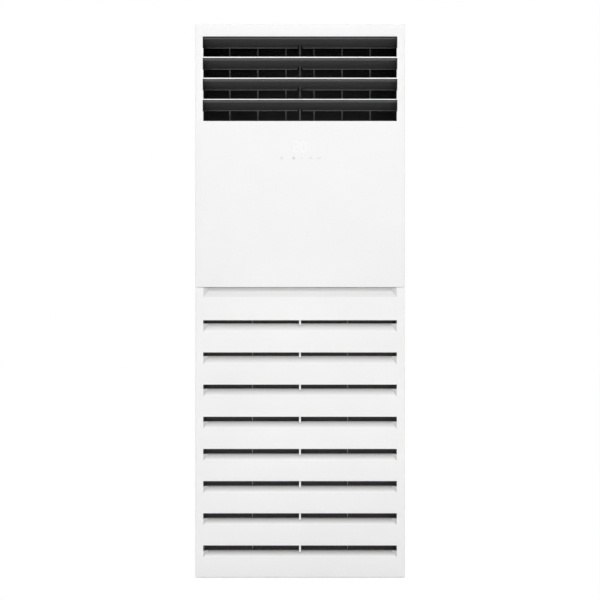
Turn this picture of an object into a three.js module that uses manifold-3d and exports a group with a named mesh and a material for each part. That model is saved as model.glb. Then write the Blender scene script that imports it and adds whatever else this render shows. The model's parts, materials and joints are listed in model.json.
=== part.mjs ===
// Floor standing air conditioner, indoor unit, louvres open.
// Millimetres, +Z up, front facing -Y, origin on the floor under the middle of the cabinet.
import * as THREE from "three";
import { mergeVertices } from "three/addons/utils/BufferGeometryUtils.js";
import { ConvexGeometry } from "three/addons/geometries/ConvexGeometry.js";
import Module from "manifold-3d";

const wasm = await Module();
wasm.setup();

// ---- driving dimensions ----
const WIDTH = 700;
const HEIGHT = 1850;
const DEPTH = 400;
const WALL = 3; // moulded front panels
const SHEET = 1.2; // steel sheet
const GAP = 0.3; // between pieces that touch
const SEAM = 1.2; // between the two front panels

const HALF = WIDTH / 2;
const FRONT = -DEPTH / 2;
const PANEL_BACK = -156.5; // rear edge of both front panels
const CASE_FRONT = -155; // front edge of the steel case
const CASE_BACK = 195;
const SEAM_Z = 971; // top of the lower front panel
const OPEN_HALF = 323; // half width of the slots in both panels

const OUTLET_TOP = 1808.5;
const OUTLET_BOTTOM = 1528;
const BAR_TOP = 1741.9; // first white bar
const BAR_HEIGHT = 5;
const BAR_BACK = -188;
const LOUVRE_PITCH = 70;
const LOUVRES = 4;
const LOUVRE_CHORD = 58;
const LOUVRE_REST = 23.4; // degrees below the level, open as shown
const PIVOT_Y = -191;
const PIVOT_DROP = 5; // pivot below the top of its slot
const NOTCH = 8; // half width of the arch in a blade
const LINK_S = 49.5; // link pin along the chord
const LINK_T = 9; // link pin above the blade

const VANES = 6;
const VANE_PITCH = 95.3;
const VANE_Y = -92;
const VANE_ROD = 22; // rod pin behind the vane's own pivot
const ROD_Z = 1668;
const FRAME_FRONT = -196.6;
const FRAME_BACK = -50;
const FRAME_IN = 331; // half width inside the outlet frame
const FRAME_LOW = 1515;
const FRAME_HIGH = 1822;

const SLOTS = 8;
const SLOT_TOP = 860.9;
const SLOT_PITCH = 107.4;
const GAP_HEIGHT = 11; // open height of a slot
const RAMP_HEIGHT = 40; // slot and ramp together
const RAMP_DEPTH = 22;
const RIB_BACK = -163.5; // rear of the ribs inside the lower panel
const GRIP_BOTTOM = 938.5; // lower edge of the finger recess
const GRIP_DEPTH = 18;

const DOOR_Y = -192; // hinge line of the lower panel
const DOOR_Z = 14;
const HINGE_X = 335;

const FAN_Z = 560;
const WHEEL_R = 175;
const WHEEL_BLADES = 30;
const CUTOFF = 70; // degrees, where the scroll starts
const SCROLL_R = 195;
const SCROLL_GROWTH = 80;
const SCROLL_HALF = 110;
const DECK_Z = 906;

const COIL_LEAN = 25;
const COIL_Y = -78;
const COIL_Z = 1048;
const COIL_LENGTH = 540;
const COIL_HALF = 300;
const TUBE_RUNS = 12;
const TUBE_PITCH = 44;
const TUBE_R = 4.5;

// ---- materials ----
function finish(colour, roughness, metalness = 0) {
  return new THREE.MeshStandardMaterial({ color: colour, roughness, metalness });
}
const WHITE = finish(0xf2f2f0, 0.42);
const COATED = finish(0xe9e9e7, 0.45, 0.1);
const BLADE = finish(0x313133, 0.5);
const BLACK = finish(0x141416, 0.6);
const STEEL = finish(0xb4b7ba, 0.4, 0.9);
const ZINC = finish(0x9ba0a4, 0.5, 0.8);
const FOIL = finish(0xc9ccd0, 0.4, 0.9);
const COPPER = finish(0xb87348, 0.35, 1);
const BRASS = finish(0xc8a655, 0.35, 1);
const FOAM = finish(0x2a2a2c, 0.9);
const WHEEL = finish(0x3b3d42, 0.55);
const BOARD = finish(0x2d6b45, 0.6);
const CREAM = finish(0xe4e0d4, 0.6);

// ---- shapes ----
function solid(geometry) {
  const bare = geometry.index ? geometry.toNonIndexed() : geometry.clone();
  bare.deleteAttribute("normal");
  bare.deleteAttribute("uv");
  const merged = mergeVertices(bare, 1e-4);
  const vertProperties = merged.attributes.position.array;
  const triVerts = new Uint32Array(merged.index.array);
  const made = new wasm.Manifold(new wasm.Mesh({ numProp: 3, vertProperties, triVerts }));
  if (made.volume() > 0) return made;
  triVerts.reverse();
  return new wasm.Manifold(new wasm.Mesh({ numProp: 3, vertProperties, triVerts }));
}

function join(...solids) {
  return solids.flat().reduce((sum, next) => sum.add(next));
}

function cut(body, ...tools) {
  return tools.flat().reduce((rest, tool) => rest.subtract(tool), body);
}

// A block between two limits on each axis.
function box(xs, ys, zs) {
  const size = [xs, ys, zs].map(([a, b]) => Math.abs(b - a));
  const mid = [xs, ys, zs].map(([a, b]) => (a + b) / 2);
  return solid(new THREE.BoxGeometry(...size).translate(...mid));
}

// An outline drawn in the two other axes, in the order x, y, z, and run along one axis.
const TURN = {
  x: new THREE.Matrix4().makeBasis(
    new THREE.Vector3(0, 1, 0), new THREE.Vector3(0, 0, 1), new THREE.Vector3(1, 0, 0)),
  y: new THREE.Matrix4().makeBasis(
    new THREE.Vector3(0, 0, 1), new THREE.Vector3(1, 0, 0), new THREE.Vector3(0, 1, 0)),
  z: new THREE.Matrix4(),
};
function prism(axis, [from, to], outline) {
  const flat = outline.map(([a, b]) => (axis === "y" ? new THREE.Vector2(b, a) : new THREE.Vector2(a, b)));
  const start = Math.min(from, to);
  const geometry = new THREE.ExtrudeGeometry(new THREE.Shape(flat), {
    depth: Math.abs(to - from),
    bevelEnabled: false,
  });
  return solid(geometry.translate(0, 0, start).applyMatrix4(TURN[axis]));
}

function arc([a, b], radius, fromDegrees, toDegrees, steps) {
  return Array.from({ length: steps + 1 }, (_, i) => {
    const angle = THREE.MathUtils.degToRad(fromDegrees + ((toDegrees - fromDegrees) * i) / steps);
    return [a + radius * Math.cos(angle), b + radius * Math.sin(angle)];
  });
}

function rod(axis, span, centre, radius, sides = 12) {
  return prism(axis, span, arc(centre, radius, 0, 360 - 360 / sides, sides - 1));
}

function hull(points) {
  return solid(new ConvexGeometry(points.map((p) => new THREE.Vector3(...p))));
}

function lathe(profile, segments = 32) {
  const points = profile.map(([r, y]) => new THREE.Vector2(r, y));
  return solid(new THREE.LatheGeometry(points, segments));
}

// A tube through corner points, each corner rounded to the bend radius.
function pipe(corners, radius, bend, steps, sides = 8, bore = 0) {
  const at = corners.map((p) => new THREE.Vector3(...p));
  const path = new THREE.CurvePath();
  let from = at[0];
  for (let i = 1; i < at.length - 1; i++) {
    const before = at[i].clone().add(at[i - 1].clone().sub(at[i]).setLength(bend));
    const after = at[i].clone().add(at[i + 1].clone().sub(at[i]).setLength(bend));
    path.add(new THREE.LineCurve3(from, before));
    path.add(new THREE.QuadraticBezierCurve3(before, at[i], after));
    from = after;
  }
  path.add(new THREE.LineCurve3(from, at[at.length - 1]));
  const ring = (r) => arc([0, 0], r, 0, 360 - 360 / sides, sides - 1).map((p) => new THREE.Vector2(...p));
  const section = new THREE.Shape(ring(radius));
  if (bore) section.holes.push(new THREE.Path(ring(bore)));
  return solid(new THREE.ExtrudeGeometry(section, { steps, extrudePath: path, bevelEnabled: false }));
}

function meshOf(name, body, material) {
  const data = body.getMesh();
  const stride = data.numProp;
  const positions = new Float32Array(data.numVert * 3);
  for (let i = 0; i < data.numVert; i++) {
    positions.set(data.vertProperties.subarray(i * stride, i * stride + 3), i * 3);
  }
  const geometry = new THREE.BufferGeometry();
  geometry.setAttribute("position", new THREE.BufferAttribute(positions, 3));
  geometry.setIndex(new THREE.BufferAttribute(new Uint32Array(data.triVerts), 1));
  geometry.computeVertexNormals();
  const mesh = new THREE.Mesh(geometry, material);
  mesh.name = name;
  return mesh;
}

function sideName(side) {
  return side < 0 ? "left" : "right";
}

// ---- outlet layout ----
function slotSpan(k) {
  const top = k === 0 ? OUTLET_TOP : BAR_TOP - BAR_HEIGHT - LOUVRE_PITCH * (k - 1);
  const bottom = k === LOUVRES - 1 ? OUTLET_BOTTOM : BAR_TOP - LOUVRE_PITCH * k;
  return { top, bottom };
}

function pivotZ(k) {
  return slotSpan(k).top - PIVOT_DROP;
}

function vaneX(i) {
  return (i - (VANES - 1) / 2) * VANE_PITCH;
}

const linkAngle = THREE.MathUtils.degToRad(LOUVRE_REST);
const LINK_Y = PIVOT_Y + LINK_S * Math.cos(linkAngle) + LINK_T * Math.sin(linkAngle);
const LINK_DROP = LINK_S * Math.sin(linkAngle) - LINK_T * Math.cos(linkAngle);

// ---- steel case ----
const BASE_PLATE = 2.5;
const BASE_RIM = 25;
const EAR = [HINGE_X, HINGE_X + 5];
const PIPE_WINDOW = { xs: [-315, -205], zs: [30, 120] };
const SERVICE_TOP = 150; // upper edge of the two plates at the foot of the back
const SERVICE_SPLIT = -180; // where the pipe plate ends and the service plate begins

function basePan() {
  const plate = box([-HALF, HALF], [-189, 196], [0, BASE_PLATE]);
  const rimOuter = box([-347.5, 347.5], [-150, 193], [BASE_PLATE - 1, BASE_RIM]);
  const rimInner = box([-346, 346], [-148.5, 191.5], [BASE_PLATE, BASE_RIM + 1]);
  const ears = [-1, 1].map((side) =>
    prism("x", EAR.map((x) => side * x), [
      ...arc([DOOR_Y, DOOR_Z], 4.2, 60, 250, 8),
      [-188.5, 7],
      [-188.5, 1],
      [-165, 1],
      [-165, 6],
    ]));
  const pins = [-1, 1].map((side) =>
    rod("x", [side * (HINGE_X - 0.6), side * 346.7], [DOOR_Y, DOOR_Z], 2.5));
  return join(plate, cut(rimOuter, rimInner), ears, pins);
}

function sidePanel(side) {
  const inner = HALF - SHEET;
  return prism("z", [3, 1846.2], [
    [side * HALF, CASE_FRONT],
    [side * HALF, CASE_BACK],
    [side * 325, CASE_BACK],
    [side * 325, CASE_BACK - SHEET],
    [side * inner, CASE_BACK - SHEET],
    [side * inner, CASE_FRONT + SHEET],
    [side * 336, CASE_FRONT + SHEET],
    [side * 336, CASE_FRONT],
  ]);
}

function rearPanel() {
  const front = CASE_BACK + GAP;
  const back = front + 1;
  const bead = (z) => prism("x", [-300, 300], [
    [back - 0.2, z - 12],
    [back + 1.8, z - 8],
    [back + 1.8, z + 8],
    [back - 0.2, z + 12],
  ]);
  const sheet = box([-345, 345], [front, back], [SERVICE_TOP + GAP, 1846]);
  return join(sheet, [250, 600, 950, 1300, 1600].map(bead));
}

function servicePlate() {
  const front = CASE_BACK + GAP;
  return box([SERVICE_SPLIT + GAP, 345], [front, front + SHEET], [3, SERVICE_TOP]);
}

function pipePlate() {
  const front = CASE_BACK + GAP;
  const plate = box([-345, SERVICE_SPLIT], [front, front + SHEET], [3, SERVICE_TOP]);
  return cut(plate, box(PIPE_WINDOW.xs, [front - 1, front + 3], PIPE_WINDOW.zs));
}

function topCover() {
  const plate = box([-HALF, HALF], [-156, 196.5], [1846.5, HEIGHT]);
  const rim = cut(box([-345, 345], [-152, 192], [1838, 1847]), box([-343, 343], [-150, 190], [1837, 1848]));
  return join(plate, rim);
}

function wallBracket() {
  const plate = box([-60, 60], [CASE_BACK + 1.6, DEPTH / 2], [1690, 1790]);
  const corners = [-1, 1].map((side) => prism("y", [190, 210], [
    [side * 60.1, 1790.1],
    [side * 48, 1790.1],
    [side * 60.1, 1778],
  ]));
  return cut(plate, corners);
}

function frontCrossbar() {
  return prism("x", [-348, 348], [
    [-150, 945],
    [-138, 945],
    [-138, 946.5],
    [-148.5, 946.5],
    [-148.5, 983.5],
    [-138, 983.5],
    [-138, 985],
    [-150, 985],
  ]);
}

function catchClip(side) {
  const xs = [side * 240, side * 260];
  return join(
    box(xs, [-151.8, -150.3], [947, 958]),
    box(xs, [-157, -151], [955, 958]),
    box(xs, [-157, -151], [947, 950]));
}

function innerFrontPlate() {
  const plate = box([-347, 347], [-150, -150 + SHEET], [985.5, 1500]);
  return cut(plate, box([-30, 30], [-151, -148], [1440, 1470]));
}

function fanDeck() {
  const deck = box([-347, 347], [-147, 192], [DECK_Z, DECK_Z + SHEET]);
  const lip = box([-347, 347], [-147, -147 + SHEET], [DECK_Z - 12, DECK_Z + 1]);
  const through = [DECK_Z - 2, DECK_Z + 4];
  return cut(
    join(deck, lip),
    box([68, 273], [-108, 108], through),
    rod("z", through, [-300, -90], 11.5),
    box([-346, -322], [-80, -52], through),
    box([-346, -320], [135, 165], through));
}

// ---- upper front panel ----
function panelOutline(inset, back) {
  const x = HALF - inset;
  const radius = Math.max(3 - inset, 0.5);
  const y = FRONT + inset + radius;
  return [
    [x, back],
    ...arc([x - radius, y], radius, 0, -90, 3),
    ...arc([-x + radius, y], radius, -90, -180, 3),
    [-x, back],
  ];
}

function outletBar(k) {
  const top = BAR_TOP - LOUVRE_PITCH * k;
  const bottom = top - BAR_HEIGHT;
  return prism("x", [-OPEN_HALF - 1, OPEN_HALF + 1], [
    [FRONT, bottom + 1],
    [FRONT + 1, bottom],
    [BAR_BACK, bottom],
    [BAR_BACK, top],
    [FRONT + 1, top],
    [FRONT, top - 1],
  ]);
}

function frontPanel() {
  const bottom = SEAM_Z + SEAM / 2;
  const shell = cut(
    prism("z", [bottom, HEIGHT], panelOutline(0, PANEL_BACK)),
    prism("z", [bottom + WALL, HEIGHT - WALL], panelOutline(WALL, PANEL_BACK + 5)));
  const slots = [...Array(LOUVRES).keys()].map((k) => {
    const { top, bottom: low } = slotSpan(k);
    return join(
      box([-OPEN_HALF, OPEN_HALF], [FRONT - 1, FRONT + 4], [low, top]),
      box([-OPEN_HALF - 3, OPEN_HALF + 3], [FRONT - 1, FRONT + 4], [top - 39, top]));
  });
  const topEdge = prism("x", [-HALF - 1, HALF + 1], [
    [FRONT - 0.1, HEIGHT + 0.1],
    [FRONT + 2, HEIGHT + 0.1],
    [FRONT - 0.1, HEIGHT - 2],
  ]);
  const bars = [...Array(LOUVRES - 1).keys()].map((k) =>
    cut(outletBar(k), [-1, 1].map((side) =>
      box([side * OPEN_HALF, side * (OPEN_HALF + 2)], [FRONT + WALL, BAR_BACK + 1], [1500, HEIGHT]))));
  return join(cut(shell, slots, topEdge), bars);
}

const DISPLAY_KEYS = [-60, -21, 5, 35, 60];
function displayModule() {
  const housing = box([-70, 70], [-196.6, -182], [1385, 1470]);
  const recess = box([-66, 66], [-186, -181], [1389, 1466]);
  const socket = box([-12, 12], [-187, -183], [1396, 1408]);
  const keys = DISPLAY_KEYS.map((x) => rod("y", [-187, -184], [x, 1402], 4, 8));
  return join(cut(housing, recess), socket, keys);
}

// ---- lower front panel and its filters ----
function rampTool(top, half, inset, depth, height, floor, front) {
  return hull([
    [-half, front, top - height],
    [half, front, top - height],
    [-half, front, top - floor],
    [half, front, top - floor],
    [-half + inset, FRONT + depth, top - floor],
    [half - inset, FRONT + depth, top - floor],
  ]);
}

function slotTop(k) {
  return SLOT_TOP - SLOT_PITCH * k;
}

function slotRibs(top) {
  const depth = [FRONT + 2, RIB_BACK];
  const half = OPEN_HALF + 3;
  const floor = top - GAP_HEIGHT;
  const sides = [-1, 1].map((side) =>
    box([side * OPEN_HALF, side * half], depth, [floor - WALL, top + WALL]));
  return join(
    box([-half, half], depth, [top, top + WALL]),
    box([-half, half], depth, [floor - WALL, floor]),
    rampTool(top, OPEN_HALF + 4.2, RAMP_DEPTH, RAMP_DEPTH + 4, RAMP_HEIGHT + 4, GAP_HEIGHT, FRONT + 2),
    sides);
}

function slotTools(top) {
  return [
    box([-OPEN_HALF, OPEN_HALF], [FRONT - 1, RIB_BACK + 1], [top - GAP_HEIGHT, top]),
    rampTool(top, OPEN_HALF, RAMP_DEPTH, RAMP_DEPTH, RAMP_HEIGHT, GAP_HEIGHT - 0.1, FRONT - 0.01),
  ];
}

function filterRails() {
  const span = [30, 900];
  const outer = [-1, 1].flatMap((side) => [
    box([side * 317, side * 321], [RIB_BACK - 1, -156.5], span),
    box([side * 312.5, side * 321], [-157.7, -156.5], span),
  ]);
  const middle = [
    box([-2.3, 2.3], [RIB_BACK - 1, -156.5], span),
    box([-7, 7], [-157.7, -156.5], span),
  ];
  const rest = box([-321, 321], [RIB_BACK - 1, -156.5], [36, 40]);
  return join(outer, middle, rest);
}

function intakeGrille() {
  const top = SEAM_Z - SEAM / 2;
  const shell = cut(
    prism("z", [2, top], panelOutline(0, PANEL_BACK)),
    prism("z", [-5, top - WALL], panelOutline(WALL, PANEL_BACK + 5)));
  const slots = [...Array(SLOTS).keys()].map(slotTop);
  const gripBacking = rampTool(
    top, OPEN_HALF + 4.2, GRIP_DEPTH + 8, GRIP_DEPTH + 4, top - GRIP_BOTTOM + 4, 0, FRONT + 2);
  const ribs = [24, 33].map((z) => box([-348, 348], [FRONT + 2, RIB_BACK], [z, z + WALL]));
  const lugs = [-1, 1].map((side) => box([side * 341, side * 348], [FRONT + 2.5, -184], [8, 20]));
  const tongues = [-1, 1].flatMap((side) => {
    const xs = [side * 242, side * 258];
    return [box(xs, [-166, RIB_BACK], [950, 968]), box(xs, [-164, -152.5], [951, 954])];
  });
  const body = join(shell, slots.map(slotRibs), gripBacking, ribs, lugs, tongues, filterRails());
  const tools = [
    ...slots.flatMap(slotTools),
    rampTool(top + 1, OPEN_HALF, GRIP_DEPTH + 8, GRIP_DEPTH, top + 1 - GRIP_BOTTOM, 0, FRONT - 0.01),
    box([-HALF - 1, HALF + 1], [FRONT - 1, FRONT + 60], [top, top + 20]),
    box([-HALF - 1, HALF + 1], [-195, -150], [0, 4]),
    prism("x", [-HALF - 1, HALF + 1], [[FRONT - 0.1, 1.9], [FRONT + 2, 1.9], [FRONT - 0.1, 4]]),
    ...[-1, 1].map((side) => rod("x", [side * 340, side * 347], [DOOR_Y, DOOR_Z], 2.9)),
  ];
  const centreRibs = slots.map((z) => box([-3, 3], [FRONT + 6, RIB_BACK], [z - GAP_HEIGHT - 1, z + 1]));
  return join(cut(body, tools), centreRibs);
}

function filter(side) {
  const [near, far] = [3.5, 316.3];
  const [low, high] = [41, 893];
  const frame = cut(
    box([side * near, side * far], [-162.9, -158.2], [low, high]),
    box([side * (near + 9), side * (far - 9)], [-164, -157], [low + 10, high - 10]));
  const net = box([side * (near + 5), side * (far - 5)], [-161, -160.2], [low + 5, high - 5]);
  const middle = (near + far) / 2;
  const upright = box([side * (middle - 3), side * (middle + 3)], [-162.9, -158.2], [low + 5, high - 5]);
  const rungs = [...Array(SLOTS - 1).keys()].map((k) => {
    const z = slotTop(k) - 45;
    return box([side * (near + 5), side * (far - 5)], [-162.2, -158.8], [z - 3, z + 3]);
  });
  const handle = box([side * (middle - 30), side * (middle + 30)], [-162.9, -158.2], [high - 12, high + 8]);
  return join(frame, net, upright, rungs, handle);
}

// ---- air outlet: frame, louvres and vanes ----
function outletFrame() {
  const wall = 3;
  const ring = cut(
    box([-FRAME_IN - wall, FRAME_IN + wall], [FRAME_FRONT, FRAME_BACK], [FRAME_LOW - wall, FRAME_HIGH + wall]),
    box([-FRAME_IN, FRAME_IN], [FRAME_FRONT - 1, FRAME_BACK + 1], [FRAME_LOW, FRAME_HIGH]));
  const pinHoles = [...Array(VANES).keys()].flatMap((i) => [
    rod("z", [FRAME_LOW - 4, FRAME_LOW + 1], [vaneX(i), VANE_Y], 2.5, 8),
    rod("z", [FRAME_HIGH - 1, FRAME_HIGH + 4], [vaneX(i), VANE_Y], 2.5, 8),
  ]);
  const shaftHole = rod("x", [FRAME_IN - 1, FRAME_IN + wall + 1], [PIVOT_Y, pivotZ(0)], 4);
  return cut(ring, pinHoles, shaftHole);
}

function louvreStrip(side) {
  const strip = box([side * (OPEN_HALF + GAP), side * 330], [-196.7, -185], [1530, 1820]);
  const caps = [...Array(LOUVRES).keys()].map((k) => {
    const { top } = slotSpan(k);
    return box([side * (OPEN_HALF + GAP), side * (OPEN_HALF + 2.7)], [-199.2, -196], [top - 38.7, top - GAP]);
  });
  const bores = [...Array(LOUVRES).keys()].map((k) =>
    rod("x", [side * OPEN_HALF, side * 331], [PIVOT_Y, pivotZ(k)], 3.2, 10));
  return cut(join(strip, caps), bores);
}

// Drawn about its pivot: +Y runs down the chord, +Z is its upper face.
function louvreBlade() {
  const half = OPEN_HALF - 0.5;
  const chord = LOUVRE_CHORD;
  const plate = prism("x", [-half, half], [
    ...arc([0, 0], 4, 30, 330, 8),
    [chord - 8, -1.7],
    [chord - 1.5, -1.5],
    [chord, 0],
    [chord - 1.5, 1.5],
    [chord - 8, 1.7],
  ]);
  const arch = join(
    box([-NOTCH, NOTCH], [chord - 11, chord + 1], [-5, 5]),
    rod("z", [-5, 5], [0, chord - 11], NOTCH, 16));
  const pins = [-1, 1].map((side) => rod("x", [side * (half - 2), side * 329], [0, 0], 2.5, 8));
  const ears = [-1, 1].map((side) =>
    box([side * (NOTCH - 2.5), side * (NOTCH + 1)], [LINK_S - 4, LINK_S + 4], [-1, LINK_T + 3]));
  const linkPin = rod("x", [-NOTCH, NOTCH], [LINK_S, LINK_T], 1.6, 8);
  return join(cut(plate, arch), pins, ears, linkPin);
}

// Drawn about the first blade's link pin.
function louvreLinkBar() {
  const drops = [...Array(LOUVRES).keys()].map((k) => pivotZ(0) - pivotZ(k));
  const bar = box([-3, 3], [-4, 4], [-drops[LOUVRES - 1] - 7, 7]);
  return cut(bar, drops.map((drop) => rod("x", [-4, 4], [0, -drop], 2.6, 8)));
}

function louvreMotor() {
  const z = pivotZ(0);
  const can = rod("x", [334.4, 346.5], [PIVOT_Y + 8, z], 13, 20);
  const shaft = rod("x", [329.5, 336], [PIVOT_Y, z], 2.4, 10);
  const tab = box([334.4, 336], [PIVOT_Y + 4, PIVOT_Y + 12], [z - 20, z + 17]);
  return join(can, shaft, tab);
}

// Drawn about its own upright pivot.
function vane() {
  const [low, high] = [FRAME_LOW + 1.5, FRAME_HIGH - 1.5];
  const plate = box([-1.25, 1.25], [-30, 30], [low, high]);
  const bead = prism("z", [low, high], [[-2.2, -28], [0, -31], [2.2, -28], [1, -24], [-1, -24]]);
  const window = box([-5, 5], [VANE_ROD - 8, 31], [ROD_Z - 8, ROD_Z + 8]);
  const rodPin = rod("z", [ROD_Z - 12, ROD_Z + 12], [0, VANE_ROD], 1.5, 6);
  const pins = [[low - 4, low + 1], [high - 1, high + 4]].map((span) => rod("z", span, [0, 0], 1.8, 8));
  return join(cut(join(plate, bead), window), rodPin, pins);
}

// Drawn about the first vane's rod pin.
function vaneLinkRod() {
  const reach = (VANES - 1) * VANE_PITCH;
  const bar = box([-7, reach + 7], [-4, 4], [ROD_Z - 3.5, ROD_Z + 3.5]);
  const holes = [...Array(VANES).keys()].map((i) =>
    rod("z", [ROD_Z - 5, ROD_Z + 5], [i * VANE_PITCH, 0], 2.6, 8));
  return cut(bar, holes);
}

function vaneMotor() {
  const x = vaneX(0);
  const can = rod("z", [1498, 1511.6], [x + 8, VANE_Y], 13, 20);
  const shaft = rod("z", [1510, 1512.1], [x, VANE_Y], 2.2, 10);
  const tab = box([x - 12, x + 28], [VANE_Y - 4, VANE_Y + 4], [1510, 1511.6]);
  return join(can, shaft, tab);
}

const LINER_LOW = 1562;
function ductLiner() {
  return cut(
    box([-341, 341], [FRAME_BACK + 1, 192], [LINER_LOW, 1836]),
    box([-FRAME_IN, FRAME_IN], [FRAME_BACK - 9, 182], [LINER_LOW - 5, 1826]));
}

// ---- fan ----
// The scroll opens from its cut-off, past the left and the bottom, to the right, and blows up.
function scrollOutline(offset, outletTop) {
  const spiral = Array.from({ length: 30 }, (_, i) => {
    const degrees = CUTOFF + ((360 - CUTOFF) * i) / 29;
    const radius = SCROLL_R + offset + (SCROLL_GROWTH * (degrees - CUTOFF)) / (360 - CUTOFF);
    const angle = THREE.MathUtils.degToRad(degrees);
    return [radius * Math.cos(angle), FAN_Z + radius * Math.sin(angle)];
  });
  const right = SCROLL_R + SCROLL_GROWTH + offset;
  const left = SCROLL_R * Math.cos(THREE.MathUtils.degToRad(CUTOFF)) - offset;
  return [...spiral, [right, outletTop], [left, outletTop]];
}

function scrollHousing() {
  const top = DECK_Z - GAP;
  const flange = box([52, 290], [-122, 122], [top - SHEET, top]);
  const outer = join(prism("y", [-SCROLL_HALF, SCROLL_HALF], scrollOutline(SHEET, top - 0.2)), flange);
  return cut(
    outer,
    prism("y", [-SCROLL_HALF - 1, SCROLL_HALF - SHEET], scrollOutline(0, top + 5)),
    box([50, 300], [-130, -SCROLL_HALF - 2.2], [top - 9, top - SHEET - 0.01]),
    rod("y", [SCROLL_HALF - 5, SCROLL_HALF + 5], [0, FAN_Z], 62, 24));
}

function scrollFrontCover() {
  const back = -SCROLL_HALF - GAP;
  const plate = prism("y", [back - SHEET, back], scrollOutline(SHEET, DECK_Z - 2.4));
  return cut(plate, rod("y", [back - 5, back + 5], [0, FAN_Z], 150, 28));
}

function inletRing() {
  return lathe([
    [146.5, -96],
    [148, -96],
    [148, -112],
    [155, -120.5],
    [168.5, -120.5],
    [168.5, -112.1],
    [170, -112.1],
    [170, -122],
    [154, -122],
    [146.5, -112.5],
    [146.5, -96],
  ], 28);
}

function blowerWheel() {
  const disc = (span, radius) => rod("y", span, [0, 0], radius, 30);
  const backplate = cut(disc([84, 86.5], WHEEL_R), disc([80, 90], 20));
  const ring = cut(disc([-92, -89], WHEEL_R), disc([-95, -85], 151));
  const blades = [...Array(WHEEL_BLADES).keys()].map((i) => {
    const turn = (360 / WHEEL_BLADES) * i;
    const at = (radius, degrees) => arc([0, 0], radius, turn + degrees, turn + degrees, 1)[0];
    return prism("y", [-90, 85], [at(153, 0), at(173, 4), at(173, 4.8), at(153, 0.9)]);
  });
  return join(backplate, ring, blades);
}

function blowerHub() {
  return cut(
    lathe([[0, 58], [18, 58], [20, 60], [20, 76], [38, 80], [38, 83.7], [0, 83.7]], 24),
    rod("y", [50, 90], [0, 0], 8.4, 16));
}

function blowerShaft() {
  return rod("y", [38, 112.8], [0, 0], 8, 12);
}

function shaftNut() {
  return cut(rod("y", [46, 57.6], [0, 0], 14, 6), rod("y", [40, 60], [0, 0], 8.4, 16));
}

function motorBracket() {
  const y = SCROLL_HALF + GAP;
  const plate = box([-347, 347], [y, y + 2.5], [480, 640]);
  const lips = [480, 637.5].map((z) => box([-347, 347], [y, y + 14], [z, z + 2.5]));
  return cut(join(plate, lips), rod("y", [y - 1, y + 5], [0, FAN_Z], 22, 20));
}

function fanMotor() {
  const y = SCROLL_HALF + GAP + 2.5 + GAP;
  const body = lathe([
    [0, y],
    [70, y],
    [74, y + 4],
    [74, y + 50],
    [66, y + 57],
    [28, y + 60],
    [28, y + 70],
    [0, y + 70],
  ]);
  const terminalBox = box([-22, 22], [y + 16, y + 45], [70, 92]);
  return join(body, terminalBox);
}

// ---- evaporator and its pipes ----
// The coil is drawn upright from its lower edge, then leans back in its group.
function runZ(i) {
  return 28 + TUBE_PITCH * i;
}

// One folded sheet; its thickness is taken along Y, so the steep folds come out about 1 mm thick.
const FOLD_RISE = 3.5;
function finPack(near, far) {
  const folds = 54;
  const pitch = (2 * (COIL_HALF - 3)) / folds;
  const there = Array.from({ length: folds + 1 }, (_, i) => [-COIL_HALF + 3 + pitch * i, i % 2 ? near : far]);
  const back = there.map(([x, y]) => [x, y + FOLD_RISE]).reverse();
  return prism("z", [4, COIL_LENGTH - 4], [...there, ...back]);
}

function evaporatorTube() {
  const reach = COIL_HALF + 8;
  const runs = [...Array(TUBE_RUNS).keys()].map((i) => {
    const start = i === 0 || i === TUBE_RUNS - 1 ? -COIL_HALF - 16 : -reach - 1.5;
    return rod("x", [start, reach + 1.5], [0, runZ(i)], TUBE_R - 0.1, 6);
  });
  const bends = [...Array(TUBE_RUNS - 1).keys()].map((i) => {
    const side = i % 2 ? -1 : 1;
    const half = TUBE_PITCH / 2;
    const points = arc([0, 0], half, -90, 90, 5).map(([a, b]) =>
      new THREE.Vector3(side * (reach + a), 0, runZ(i) + half + b));
    const path = new THREE.CurvePath();
    for (let n = 1; n < points.length; n++) path.add(new THREE.LineCurve3(points[n - 1], points[n]));
    const ring = arc([0, 0], TUBE_R, 0, 300, 5).map((p) => new THREE.Vector2(...p));
    const options = { steps: 5, extrudePath: path, bevelEnabled: false };
    return solid(new THREE.ExtrudeGeometry(new THREE.Shape(ring), options));
  });
  return join(runs, bends);
}

function tubeSheet(side) {
  const plate = box([side * COIL_HALF, side * (COIL_HALF + SHEET)], [-33, 33], [0, COIL_LENGTH]);
  const holes = [...Array(TUBE_RUNS).keys()].map((i) =>
    rod("x", [side * (COIL_HALF - 2), side * (COIL_HALF + 4)], [0, runZ(i)], TUBE_R + 1.2, 6));
  return cut(plate, holes);
}

const lean = THREE.MathUtils.degToRad(COIL_LEAN);
function coilPoint(z) {
  return [COIL_Y + z * Math.sin(lean), COIL_Z + z * Math.cos(lean)];
}

const PIPE_X = -334;
const PIPE_END = 184;
function gasPipe() {
  const [y, z] = coilPoint(runZ(TUBE_RUNS - 1));
  return pipe(
    [[-316.6, y, z], [PIPE_X, y, z], [PIPE_X, 150, z - 60], [PIPE_X, 150, 95], [-280, 150, 95],
      [-280, PIPE_END, 95]],
    8, 15, 48, 6);
}

function liquidPipe() {
  const [y, z] = coilPoint(runZ(0));
  return pipe(
    [[-316.6, y, z], [PIPE_X, y, z], [PIPE_X, y, 70], [PIPE_X, 120, 70], [-240, 120, 70],
      [-240, PIPE_END, 70]],
    5, 12, 48, 6);
}

function flareNut(x, z, radius, bore) {
  return cut(
    rod("y", [PIPE_END - 16, PIPE_END - 1], [x, z], radius, 6),
    rod("y", [PIPE_END - 20, PIPE_END + 5], [x, z], bore, 16));
}

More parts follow.
